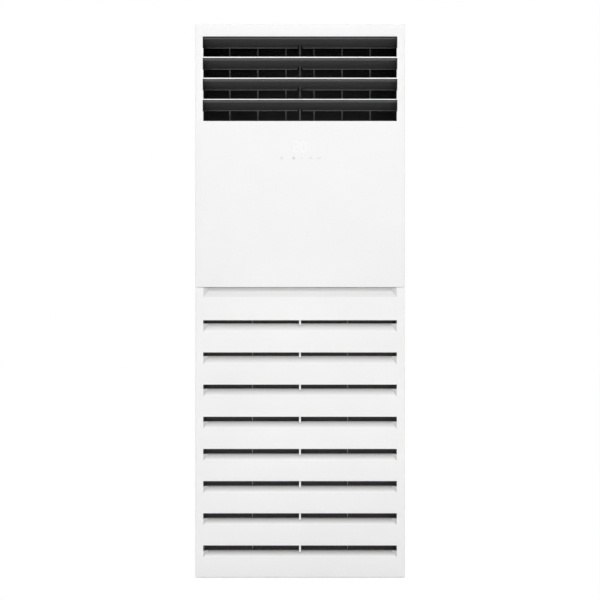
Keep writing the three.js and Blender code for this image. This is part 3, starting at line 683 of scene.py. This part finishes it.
class AIRCON_PG_stage(bpy.types.PropertyGroup):
    """Camera and light."""

    distance: FloatProperty(name="Distance", description="Camera to front panel", default=5.0, unit="LENGTH")
    height: FloatProperty(name="Height", description="Camera above the floor", default=0.9284, unit="LENGTH")
    lens: FloatProperty(name="Lens", description="Focal length", default=89.87, unit="CAMERA")
    key: FloatProperty(name="Key", description="Power of the upper front lamp", default=30.0, unit="POWER")
    fill: FloatProperty(name="Fill", description="Power of the lower front lamp", default=22.0, unit="POWER")
    side: FloatProperty(name="Side", description="Power of each side lamp", default=1.0, unit="POWER")
    sky: FloatProperty(name="Sky", description="Strength of the even light", default=0.75)


# ---- panels ----


def open_box(name, low, high, corner, round_edges, dropped):
    """A box with rounded front edges and some sides left off."""
    piece = add_block(name, low, high)
    edit(piece)
    pick(piece, "EDGE", round_edges)
    bpy.ops.mesh.bevel(offset=corner, segments=4, affect="EDGES")
    drop_faces(piece, dropped)
    return piece


def beside_slot(bottom, top):
    """A test for faces of the front beyond a slot's ends, between two heights."""
    return lambda middle, face: (
        faces_front(middle, face) and abs(middle.x) > SLOT_HALF and bottom < middle.z < top
    )


def in_outlet_slot(middle, face):
    for bottom, top in OUTLET_SPANS:
        half = SLOT_HALF + (NOTCH_WIDTH if middle.z > top - NOTCH_HEIGHT else 0)
        if faces_front(middle, face) and bottom < middle.z < top and abs(middle.x) < half:
            return True
    return False


def on_outlet_bar(middle, face):
    between = any(upper[0] > middle.z > lower[1] for upper, lower in zip(OUTLET_SPANS, OUTLET_SPANS[1:]))
    return between and abs(middle.x) < SLOT_HALF


class AIRCON_OT_upper_panel(bpy.types.Operator):
    """Models the upper front panel with its four outlet slots and white bars"""

    bl_idname = "aircon.upper_panel"
    bl_label = "Upper Front Panel"

    def execute(self, context):
        sizes = context.scene.aircon_panels
        low, high = UPPER_LOW.copy(), UPPER_HIGH.copy()
        low.y += SKIN

        def rounded(middle, edge):
            return middle.y < low.y + NEAR and (abs(middle.x) > HALF - NEAR or middle.z > high.z - NEAR)

        piece = open_box(
            "front_panel_shell", low, high, sizes.corner, rounded, lambda middle, face: face.normal.y > 0.5
        )
        for x in (-SLOT_HALF, SLOT_HALF):
            slice_at(piece, "x", x, faces_front)
        for span in OUTLET_SPANS:
            for z in span:
                slice_at(piece, "z", z, faces_front)
        for bottom, top in OUTLET_SPANS:
            notch_foot = top - NOTCH_HEIGHT
            slice_at(piece, "z", notch_foot, beside_slot(bottom, top))
            for x in (-SLOT_HALF - NOTCH_WIDTH, SLOT_HALF + NOTCH_WIDTH):
                slice_at(piece, "x", x, beside_slot(notch_foot, top))
        drop_faces(piece, in_outlet_slot)
        merge_doubles()
        coat(piece, "white_moulded", "white_edge")
        # The bars between the outlet slots are painted whiter than the panel, a painted highlight.
        use_finish(piece, 1, on_outlet_bar)
        leave()
        finish_with(piece, "SOLIDIFY", thickness=sizes.wall, offset=-1.0)
        edit(piece)
        pick(piece, "FACE", lambda middle, face: face.normal.y > 0.9 and on_outlet_bar(middle, face))
        bpy.ops.mesh.extrude_region_move(TRANSFORM_OT_translate={"value": (0, BAR_DEPTH * MM, 0)})
        leave()
        soften(piece, sizes.edge / MM, 3)
        dress(piece, "cabinet", "white_abs", "front_panel")
        return {"FINISHED"}


class AIRCON_OT_lower_panel(bpy.types.Operator):
    """Models the hinged lower panel with its eight intake slots and finger recess"""

    bl_idname = "aircon.lower_panel"
    bl_label = "Lower Intake Panel"

    def execute(self, context):
        sizes = context.scene.aircon_panels
        low, high = LOWER_LOW.copy(), LOWER_HIGH.copy()
        high.y = UPPER_HIGH.y
        low.y += SKIN
        ramp, lean = sizes.ramp_height / MM, math.tan(sizes.ramp_lean)
        slots = [(top, top - gap / MM, top - ramp) for top, gap in zip(INTAKE_TOPS, sizes.gap_heights)]
        grip_depth, grip_low = sizes.grip_depth / MM, high.z - sizes.grip_height / MM

        def rounded(middle, edge):
            upright = abs(middle.x) > HALF - NEAR and middle.y < low.y + NEAR
            foot = middle.z < low.z + NEAR and (middle.y < low.y + NEAR or abs(middle.x) > HALF - NEAR)
            return upright or foot

        piece = open_box(
            "intake_grille_shell", low, high, sizes.corner, rounded,
            lambda middle, face: face.normal.y > 0.5 or face.normal.z < -0.9,
        )
        for x in (-SLOT_HALF, SLOT_HALF):
            slice_at(piece, "x", x, lambda middle, face: faces_front(middle, face) or face.normal.z > 0.9)
        for z in [*(level for slot in slots for level in slot), grip_low]:
            slice_at(piece, "z", z, faces_front)
        for top, crest, foot in slots:
            self.cut_slot(piece, low.y, top, crest, foot, (crest - foot) * lean)
        # The rims of the slots run back as tunnels.
        pick(
            piece, "EDGE",
            lambda middle, edge: edge.is_boundary
            and abs(middle.x) < SLOT_HALF + NEAR
            and any(crest - NEAR < middle.z < top + NEAR for top, crest, foot in slots),
        )
        bpy.ops.mesh.extrude_region_move(TRANSFORM_OT_translate={"value": (0, 0, 0)})
        bpy.ops.transform.resize(value=(1, 0, 1), center_override=(0, low.y * MM + sizes.tunnel_depth, 0))
        self.open_grip(piece, low, high, grip_depth, grip_low)
        merge_doubles()
        bpy.ops.mesh.normals_make_consistent(inside=False)
        coat(piece, "white_moulded", "white_recess", "white_grip", "white_mitre", "inner_black")

        def sunk(middle):
            return middle.y > low.y + 1 and abs(middle.x) < SLOT_HALF + NEAR and middle.z < high.z - NEAR

        # Painted shade on the ramps, the grip and the mitred ends, which darkens with depth.
        use_finish(piece, 1, lambda middle, face: sunk(middle) and middle.z < grip_low)
        use_finish(piece, 2, lambda middle, face: sunk(middle) and middle.z > grip_low)
        use_finish(piece, 3, lambda middle, face: sunk(middle) and 0.3 < abs(face.normal.x) < 0.9)
        # The slots' tunnel end walls are painted black, a painted shade for the dark inside of the slots.
        use_finish(piece, 4, lambda middle, face: sunk(middle) and abs(face.normal.x) > 0.9)
        leave()
        finish_with(piece, "SOLIDIFY", thickness=sizes.wall * GRILLE_WALL_SHARE, offset=-1.0)
        relief = add_block("relief", (-HALF - 1, RELIEF_FRONT, -1), (HALF + 1, RELIEF_BACK, RELIEF_TOP))
        finish_with(piece, "BOOLEAN", object=relief, operation="DIFFERENCE", solver="EXACT")
        bpy.data.objects.remove(relief)
        fittings = self.fittings(low.y, slots)
        piece = join("intake_grille_shell", [piece, *fittings])
        soften(piece, sizes.edge / MM, 2)
        dress(piece, "intake_door", "white_abs", "intake_grille")
        return {"FINISHED"}

    def cut_slot(self, piece, front, top, crest, foot, depth):
        """Opens one slot, with a ramp below it whose ends are mitred."""

        def between(bottom, head):
            return lambda middle, face: (
                faces_front(middle, face) and abs(middle.x) < SLOT_HALF and bottom < middle.z < head
            )

        drop_faces(piece, between(crest, top))
        pick(piece, "FACE", between(foot, crest))
        bpy.ops.mesh.extrude_region_move(TRANSFORM_OT_translate={"value": (0, depth * MM, 0)})
        pick(piece, "VERT", lambda at, vert: abs(at.z - foot) < NEAR, narrow=True)
        shift(y=-depth)
        for side in (-1, 1):
            pick(
                piece, "VERT",
                lambda at, vert: abs(at.y - front - depth) < NEAR
                and abs(at.x - side * SLOT_HALF) < NEAR
                and abs(at.z - crest) < NEAR,
            )
            shift(x=-side * depth)
        merge_doubles()
        drop_faces(
            piece,
            lambda middle, face: abs(face.normal.z) > 0.9
            and middle.y < front + depth - NEAR
            and abs(middle.x) < 1
            and abs(middle.z - crest) < NEAR,
        )

    def open_grip(self, piece, low, high, depth, foot):
        """Opens the finger recess at the top edge."""
        back = low.y + depth
        inset = depth + 8  # how far the recess's ends lean in

        def on_top(middle, face):
            return face.normal.z > 0.9 and middle.z > high.z - NEAR

        def on_ramp(face):
            middle = face.calc_center_median() / MM
            return face.normal.y < -0.3 and abs(middle.x) < 100

        slice_at(piece, "y", back, on_top)
        for side in (-1, 1):
            slice_at(
                piece, "x", side * (SLOT_HALF - inset),
                lambda middle, face: on_top(middle, face) and middle.y > back,
            )
        drop_faces(
            piece,
            lambda middle, face: on_top(middle, face) and middle.y < back and abs(middle.x) < SLOT_HALF,
        )
        pick(
            piece, "FACE",
            lambda middle, face: faces_front(middle, face) and abs(middle.x) < SLOT_HALF and middle.z > foot,
        )
        bpy.ops.mesh.extrude_region_move(TRANSFORM_OT_translate={"value": (0, depth * MM, 0)})
        pick(piece, "VERT", lambda at, vert: abs(at.z - foot) < NEAR, narrow=True)
        shift(y=-depth)
        for side in (-1, 1):
            pick(
                piece, "VERT",
                lambda at, vert: at.z > high.z - NEAR
                and abs(at.y - back) < NEAR
                and abs(at.x - side * SLOT_HALF) < NEAR
                and any(on_ramp(face) for face in vert.link_faces),
            )
            shift(x=-side * inset)
        merge_doubles()
        drop_faces(
            piece,
            lambda middle, face: abs(face.normal.z) > 0.9
            and middle.z > high.z - NEAR
            and middle.y < back - NEAR
            and abs(middle.x) < 1,
        )
        # A triangle closes the top at each end.
        for side in (-1, 1):
            corners_there = [(SLOT_HALF, back), (SLOT_HALF - inset, back), (SLOT_HALF, low.y)]
            pick(
                piece, "VERT",
                lambda at, vert: at.z > high.z - NEAR
                and any(abs(at.x - side * x) < NEAR and abs(at.y - y) < NEAR for x, y in corners_there),
            )
            bpy.ops.mesh.edge_face_add()

    def fittings(self, front, slots):
        """Ribs, hinge lugs, catch tongues and filter rails behind the panel."""
        lip_front = FILTER_BACK - 1.2
        white = [
            add_block("slot_rib", (-3, front + 6, crest - 4), (3, FILTER_FRONT, top + 1))
            for top, crest, foot in slots
        ]
        white += [add_block("foot_rib", (-347.5, front + 2, z), (347.5, FILTER_FRONT, z + 3)) for z in (24, 33)]
        white += [
            add_block("middle_rail", (-2.3, FILTER_FRONT - 1, 30), (2.3, FILTER_BACK, 900)),
            add_block("middle_rail_lip", (-7, lip_front, 30), (7, FILTER_BACK, 900)),
            add_block("filter_stop", (-321, FILTER_FRONT - 1, 36), (321, FILTER_BACK, 40)),
        ]
        black = []
        for side in (-1, 1):
            white += [
                mirrored_block("hinge_lug", side, (341, 348), (front + 2.5, -184), (8, 20)),
                mirrored_block("catch_tongue", side, (242, 258), (-166, FILTER_FRONT), (950, 968)),
                mirrored_block("catch_tip", side, (242, 258), (-164, -152.5), (951, 954)),
            ]
            black += [
                mirrored_block("side_rail", side, (317, 321), (FILTER_FRONT - 1, FILTER_BACK), (30, 900)),
                mirrored_block("side_rail_lip", side, (312.5, 321), (lip_front, FILTER_BACK), (30, 900)),
            ]
        for blocks, finish in ((white, "white_moulded"), (black, "inner_black")):
            for block in blocks:
                coat(block, finish)
        return white + black


# ---- louvres ----

PIN_RADIUS, PIN_END = 2.5, 329  # the pins that a blade turns on
LINK_Y, LINK_Z, LINK_RADIUS = 49.5, 9, 1.6  # the link bar's pin, from the blade's pivot
RIM_RADIUS = 1.3


class AIRCON_OT_louvre_blades(bpy.types.Operator):
    """Models one louvre blade with its arch and pins and sets a copy at each pivot"""

    bl_idname = "aircon.louvre_blades"
    bl_label = "Louvre Blades"

    def execute(self, context):
        sizes = context.scene.aircon_outlet
        chord, arch = sizes.chord / MM, sizes.arch / MM
        half = SLOT_HALF - 0.5
        parts = [self.plate(half, chord, arch)]
        for side in (-1, 1):
            parts.append(add_rod("pin", (side * (half - 2), 0, 0), (side * PIN_END, 0, 0), PIN_RADIUS, 20))
            ear_ys, ear_zs = (LINK_Y - 4, LINK_Y + 4), (-1, LINK_Z + 3)
            ear = mirrored_block("ear", side, (arch - 2.5, arch + 1), ear_ys, ear_zs)
            soften(ear, 0.6)
            gusset = mirrored_block("gusset", side, (320.5, half), (9, 50), (0, 6))
            edit(gusset)
            pick(gusset, "VERT", lambda at, vert: at.z > 5 and at.y > 40)
            shift(y=-28, z=-2)
            leave()
            soften(gusset, 0.4)
            parts += [ear, gusset]
        parts.append(add_rod("link_pin", (-arch, LINK_Y, LINK_Z), (arch, LINK_Y, LINK_Z), LINK_RADIUS))
        for part in parts:
            coat(part, "louvre_grey")
        # A rim along each blade's rear edge, a lighter grey than the blade: a painted highlight.
        rim_y = chord - 1.4
        for side in (-1, 1):
            rim = add_rod(
                "rim", (side * (arch + 0.6), rim_y, -1.5), (side * (half - 0.6), rim_y, -1.5), RIM_RADIUS
            )
            soften(rim, 0.3)
            parts.append(coat(rim, "louvre_rim"))
        model = join("louvre_blade_model", parts)
        smooth(model)
        for k, pivot in enumerate(PIVOTS, 1):
            blade = copy_of(model, f"louvre_blade_piece_{k}")
            blade.rotation_euler = (-sizes.rest_tilt, 0, 0)
            blade.location = pivot * MM
            settle(blade)
            dress(blade, f"louver_{k}", "dark_grey_abs", f"louver_blade_{k}")
        bpy.data.objects.remove(model)
        return {"FINISHED"}

    def plate(self, half, chord, arch):
        """The blade's own plate, drawn about its pivot, with the arch cut over the link bar."""
        plate = add_block("blade_plate", (-half, -4, -4), (half, chord, 4))
        edit(plate)
        # Share of the full half thickness at each depth.
        rows = {-4: 0.5, -2.6: 0.84, 0: 1.0, 3: 0.9, 9: 0.62, 20: 0.46, 50: 0.42}
        rows |= {chord - 1.5: 0.36, chord: 0.12}
        for y in list(rows)[1:-1]:
            slice_at(plate, "y", y)
        for y, share in rows.items():
            pick(plate, "VERT", lambda at, vert: abs(at.y - y) < NEAR)
            bpy.ops.transform.resize(value=(1, 1, share), center_override=(0, 0, 0))
        leave()
        cutter = add_block("blade_cutter", (-arch, chord - 19, -6), (arch, chord + 3, 6))
        edit(cutter)
        pick(cutter, "EDGE", lambda middle, edge: middle.y < chord - 18 and abs(middle.x) > arch - NEAR)
        bpy.ops.mesh.bevel(offset=arch * 0.98 * MM, segments=8, affect="EDGES")
        leave()
        finish_with(plate, "BOOLEAN", object=cutter, operation="DIFFERENCE", solver="EXACT")
        bpy.data.objects.remove(cutter)
        soften(plate, 0.4, 2, 50)
        return plate


# ---- display ----

# The seven segments by their usual letters, each as two ends in shares of a digit's width and height.
SEGMENTS = {
    "a": ((0, 1), (1, 1)),
    "b": ((1, 0.5), (1, 1)),
    "c": ((1, 0), (1, 0.5)),
    "d": ((0, 0), (1, 0)),
    "e": ((0, 0), (0, 0.5)),
    "f": ((0, 0.5), (0, 1)),
    "g": ((0, 0.5), (1, 0.5)),
}
DIGITS = ("afbecd", "bc", "abged", "abgcd", "fbgc", "afgcd", "afgecd", "abc", "afbgecd", "afbgcd")
# The marks stand just proud of the panel's face, inside the CAD box, and reach into it.
MARK_FRONT, MARK_BACK = FRONT + SKIN - 0.045, FRONT + SKIN + 0.6
DIGITS_LEFT, DIGITS_FOOT, DIGIT_GAP = -20.0, 1423, 9
ICONS_LEVEL = 1402.0
SQUARE_X, DOT_X, PAUSE_XS, UP_X, DOWN_X = -61, -21, (4, 7), 35, 64


def stroke(name, start, end, width):
    """A flat bar with pointed ends between two points of the panel's face, as (x, z)."""
    (x0, z0), (x1, z1) = start, end
    length = math.hypot(x1 - x0, z1 - z0)
    bar = add_block(name, (0, MARK_FRONT, -width / 2), (length, MARK_BACK, width / 2))
    edit(bar)
    pick(
        bar, "EDGE",
        lambda middle, edge: abs(abs(middle.z) - width / 2) < NEAR
        and (middle.x < NEAR or middle.x > length - NEAR),
    )
    bpy.ops.mesh.bevel(offset=width * 0.45 * MM, segments=1, affect="EDGES")
    leave()
    bar.rotation_euler = (0, -math.atan2(z1 - z0, x1 - x0), 0)
    bar.location = (x0 * MM, 0, z0 * MM)
    return settle(bar)


class AIRCON_OT_display(bpy.types.Operator):
    """Models the two digits and the five touch marks that show on the upper panel"""

    bl_idname = "aircon.display"
    bl_label = "Display Marks"

    def execute(self, context):
        sizes = context.scene.aircon_display
        width, height, line = sizes.digit_width / MM, sizes.digit_height / MM, sizes.stroke / MM
        bars = []
        for place, digit in enumerate(divmod(sizes.shown, 10)):
            left = DIGITS_LEFT + place * (width + DIGIT_GAP)
            for segment in DIGITS[digit]:
                start, end = (
                    Vector((left + x * width, DIGITS_FOOT + z * height)) for x, z in SEGMENTS[segment]
                )
                slack = (end - start).normalized() * 0.8
                bars.append(stroke("bar", start + slack, end - slack, line))
        # The digits are painted lighter than the panel, standing in for the display's light.
        dress(coat(join("display_digits", bars), "display_light"), "cabinet", "white_abs")
        marks = []
        for corner in range(4):
            start, end = (
                (SQUARE_X + 5 * math.cos(turn), ICONS_LEVEL + 5 * math.sin(turn))
                for turn in (math.pi / 2 * corner - math.pi / 4, math.pi / 2 * corner + math.pi / 4)
            )
            marks.append(stroke("mark", start, end, 1.4))
        dot_front, dot_back = ((DOT_X, y, ICONS_LEVEL) for y in (MARK_FRONT, MARK_BACK))
        marks.append(add_rod("mark", dot_front, dot_back, 4.6, 24))
        for x in PAUSE_XS:
            marks.append(stroke("mark", (x, ICONS_LEVEL - 3), (x, ICONS_LEVEL + 3), 1.0))
        for x, way in ((UP_X, 3), (DOWN_X, -3)):
            for side in (-1, 1):
                marks.append(stroke("mark", (x + side * 6, ICONS_LEVEL - way), (x, ICONS_LEVEL + way), 1.8))
        dress(coat(join("display_icons", marks), "display_mark"), "cabinet", "white_abs")
        return {"FINISHED"}


# ---- screws ----


class AIRCON_OT_screws(bpy.types.Operator):
    """Models one pan head screw and sets copies round the rear sheet"""

    bl_idname = "aircon.screws"
    bl_label = "Rear Screws"

    def execute(self, context):
        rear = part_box("service_plate")[1].y / MM
        screw = add_rod("screw", (0, 0, 0), (0, 1.6, 0), 4.2, 20)
        edit(screw)
        pick(screw, "FACE", lambda middle, face: middle.y > 1.5)
        bpy.ops.mesh.inset(thickness=0.8 * MM)
        shift(y=0.5)
        bpy.ops.mesh.inset(thickness=1.2 * MM)
        bpy.ops.mesh.inset(thickness=0.8 * MM)
        shift(y=-0.9)
        leave()
        smooth(screw, 30)
        places = [(side * 338, z) for side in (-1, 1) for z in (60, 135, 170, 450, 800, 1150, 1500, 1820)]
        places += [(x, z) for x in (-115, 115, 0) for z in (135, 170, 1836)]
        copies = []
        for x, z in places:
            copy = copy_of(screw, "screw")
            on_rear_panel = z > 150  # its face lies a little before the service plates'
            copy.location = (x * MM, (rear - (0.2 if on_rear_panel else 0)) * MM, z * MM)
            copies.append(settle(copy))
        bpy.data.objects.remove(screw)
        dress(coat(join("rear_screws", copies), "machined_steel"), "cabinet", "machined_steel")
        return {"FINISHED"}


class AIRCON_OT_small_parts(bpy.types.Operator):
    """Models the outlet stiffener, the filters' ribs and the rubber ring of the pipe window"""

    bl_idname = "aircon.small_parts"
    bl_label = "Stiffener, Ribs and Pipe Ring"

    def execute(self, context):
        post = add_block("outlet_stiffener", (-2.5, -133, 1516), (2.5, -126, 1821))
        edit(post)
        pick(post, "FACE", lambda middle, face: face.normal.y > 0.9)
        bpy.ops.transform.resize(value=(0.5, 1, 1), center_override=(0, 0, 0))
        leave()
        soften(post, 0.5)
        dress(coat(post, "vane_grey"), "cabinet", "black_abs")
        for side, name in ((-1, "left"), (1, "right")):
            rib_ys = (FILTER_FRONT + 0.1, FILTER_FRONT + 0.8)
            rib = mirrored_block(f"filter_{name}_rib", side, (158.4, 161.6), rib_ys, (45, 889))
            soften(rib, 0.2)
            dress(coat(rib, "louvre_rim"), f"filter_{name}", "filter_net")
        ring = add_block("pipe_window_ring", (-319, 193.4, 26), (-201, 199.4, 124))
        edit(ring)
        pick(ring, "EDGE", lambda middle, edge: abs(middle.y - 196.4) < NEAR)
        bpy.ops.mesh.bevel(offset=8 * MM, segments=5, affect="EDGES")
        pick(ring, "FACE", lambda middle, face: abs(face.normal.y) > 0.9)
        bpy.ops.mesh.inset(thickness=6 * MM)
        bpy.ops.mesh.bridge_edge_loops()
        leave()
        soften(ring, 1.0, 3)
        dress(coat(ring, "rubber_black"), "cabinet", "black_foam")
        return {"FINISHED"}


# ---- carried-over nodes ----


class AIRCON_OT_finish_nodes(bpy.types.Operator):
    """Gives each remaining node of the frame its finish"""

    bl_idname = "aircon.finish_nodes"
    bl_label = "Finish Frame Nodes"

    def execute(self, context):
        for finish, names in NODE_FINISHES.items():
            for name in names:
                node = frame["nodes"][name]
                node.data.materials.clear()
                coat(node, finish)
        return {"FINISHED"}


# ---- stage ----


def add_lamp(name, place, target, size, power):
    lamp = bpy.data.lights.new(name, "AREA")
    lamp.shape = "RECTANGLE"
    lamp.size, lamp.size_y = size
    lamp.energy = power
    held = bpy.data.objects.new(name, lamp)
    held.location = place
    held.rotation_euler = (Vector(target) - Vector(place)).to_track_quat("-Z", "Y").to_euler()
    bpy.context.scene.collection.objects.link(held)


def background_share(tree):
    """1 for rays that see the background itself or a reflection of it."""
    path = tree.nodes.new("ShaderNodeLightPath")
    total = path.outputs["Is Camera Ray"]
    for label in ("Is Glossy Ray", "Is Transmission Ray"):
        total = calculated(tree, "MAXIMUM", total, path.outputs[label])
    return total


def mix_shaders(tree, share, first, second, output):
    """Mixes two shaders and puts the result on an output node's surface."""
    blend = tree.nodes.new("ShaderNodeMixShader")
    tree.links.new(share, blend.inputs["Fac"])
    tree.links.new(first, blend.inputs[1])
    tree.links.new(second, blend.inputs[2])
    tree.links.new(blend.outputs["Shader"], tree.nodes[output].inputs["Surface"])


class AIRCON_OT_stage(bpy.types.Operator):
    """Sets up the floor, the lamps and the camera"""

    bl_idname = "aircon.stage"
    bl_label = "Stage"

    def execute(self, context):
        values = context.scene.aircon_stage
        bpy.ops.object.select_all(action="DESELECT")
        bpy.ops.mesh.primitive_plane_add(size=30, location=(0, 0, -0.0005))
        floor = bpy.context.object
        floor.name = floor.data.name = "floor"
        settle(floor)
        paper = bpy.data.materials.new("pale_floor")
        paper.use_nodes = True
        tree = paper.node_tree
        matt = tree.nodes["Principled BSDF"]
        matt.inputs["Base Color"].default_value = grey(0.8)
        matt.inputs["Roughness"].default_value = 0.9
        glow = tree.nodes.new("ShaderNodeEmission")
        glow.inputs["Strength"].default_value = 1.06
        part = calculated(tree, "MULTIPLY", background_share(tree), 0.86)
        mix_shaders(tree, part, matt.outputs["BSDF"], glow.outputs["Emission"], "Material Output")
        floor.data.materials.append(paper)
        world = bpy.data.worlds.new("studio")
        context.scene.world = world
        world.use_nodes = True
        tree = world.node_tree
        even = tree.nodes["Background"]
        even.inputs["Color"].default_value = grey(1.0)
        even.inputs["Strength"].default_value = values.sky
        seen = tree.nodes.new("ShaderNodeBackground")
        seen.inputs["Color"].default_value = grey(1.0)
        share = background_share(tree)
        mix_shaders(tree, share, even.outputs["Background"], seen.outputs["Background"], "World Output")
        middle = (0, 0, 0.95)
        add_lamp("key_lamp", (0, -2.6, 3.5), (0, -0.2, 1.7), (3.0, 1.2), values.key)
        add_lamp("fill_lamp", (0, -4.2, 0.35), middle, (3.0, 0.5), values.fill)
        for side in (-1, 1):
            add_lamp(f"side_lamp_{side}", (side * 3.0, -2.2, 1.6), middle, (1.6, 2.6), values.side)
        camera = bpy.data.cameras.new("camera")
        camera.lens = values.lens
        camera.sensor_width = 36.0
        held = bpy.data.objects.new("camera", camera)
        held.location = (0, FRONT * MM - values.distance, values.height)
        held.rotation_euler = (math.pi / 2, 0, 0)
        context.scene.collection.objects.link(held)
        context.scene.camera = held
        context.scene.view_settings.view_transform = "Standard"
        return {"FINISHED"}


class AIRCON_PT_sidebar(bpy.types.Panel):
    """Lists the air conditioner's operators and sizes"""

    bl_idname = "AIRCON_PT_sidebar"
    bl_label = "Air Conditioner"
    bl_space_type = "VIEW_3D"
    bl_region_type = "UI"
    bl_category = "Air Conditioner"

    def draw(self, context):
        for operator in OPERATORS:
            self.layout.operator(operator.bl_idname)
        for label in PROPERTY_GROUPS:
            group = getattr(context.scene, label)
            box = self.layout.box()
            for key in group.__annotations__:
                box.prop(group, key)


OPERATORS = (
    AIRCON_OT_stage,
    AIRCON_OT_upper_panel,
    AIRCON_OT_lower_panel,
    AIRCON_OT_louvre_blades,
    AIRCON_OT_display,
    AIRCON_OT_screws,
    AIRCON_OT_small_parts,
    AIRCON_OT_finish_nodes,
)
PROPERTY_GROUPS = {
    "aircon_panels": AIRCON_PG_panels,
    "aircon_outlet": AIRCON_PG_outlet,
    "aircon_display": AIRCON_PG_display,
    "aircon_colours": AIRCON_PG_colours,
    "aircon_stage": AIRCON_PG_stage,
}


def register():
    for group in (*PROPERTY_GROUPS.values(), *OPERATORS, AIRCON_PT_sidebar):
        bpy.utils.register_class(group)
    for label, group in PROPERTY_GROUPS.items():
        setattr(bpy.types.Scene, label, PointerProperty(type=group))


def unregister():
    for label in PROPERTY_GROUPS:
        delattr(bpy.types.Scene, label)
    for group in (AIRCON_PT_sidebar, *reversed(OPERATORS), *PROPERTY_GROUPS.values()):
        bpy.utils.unregister_class(group)


def main():
    register()
    make_finishes(bpy.context.scene.aircon_colours)
    for operator in OPERATORS:
        area, name = operator.bl_idname.split(".")
        getattr(getattr(bpy.ops, area), name)()


if __name__ == "__main__":
    main()
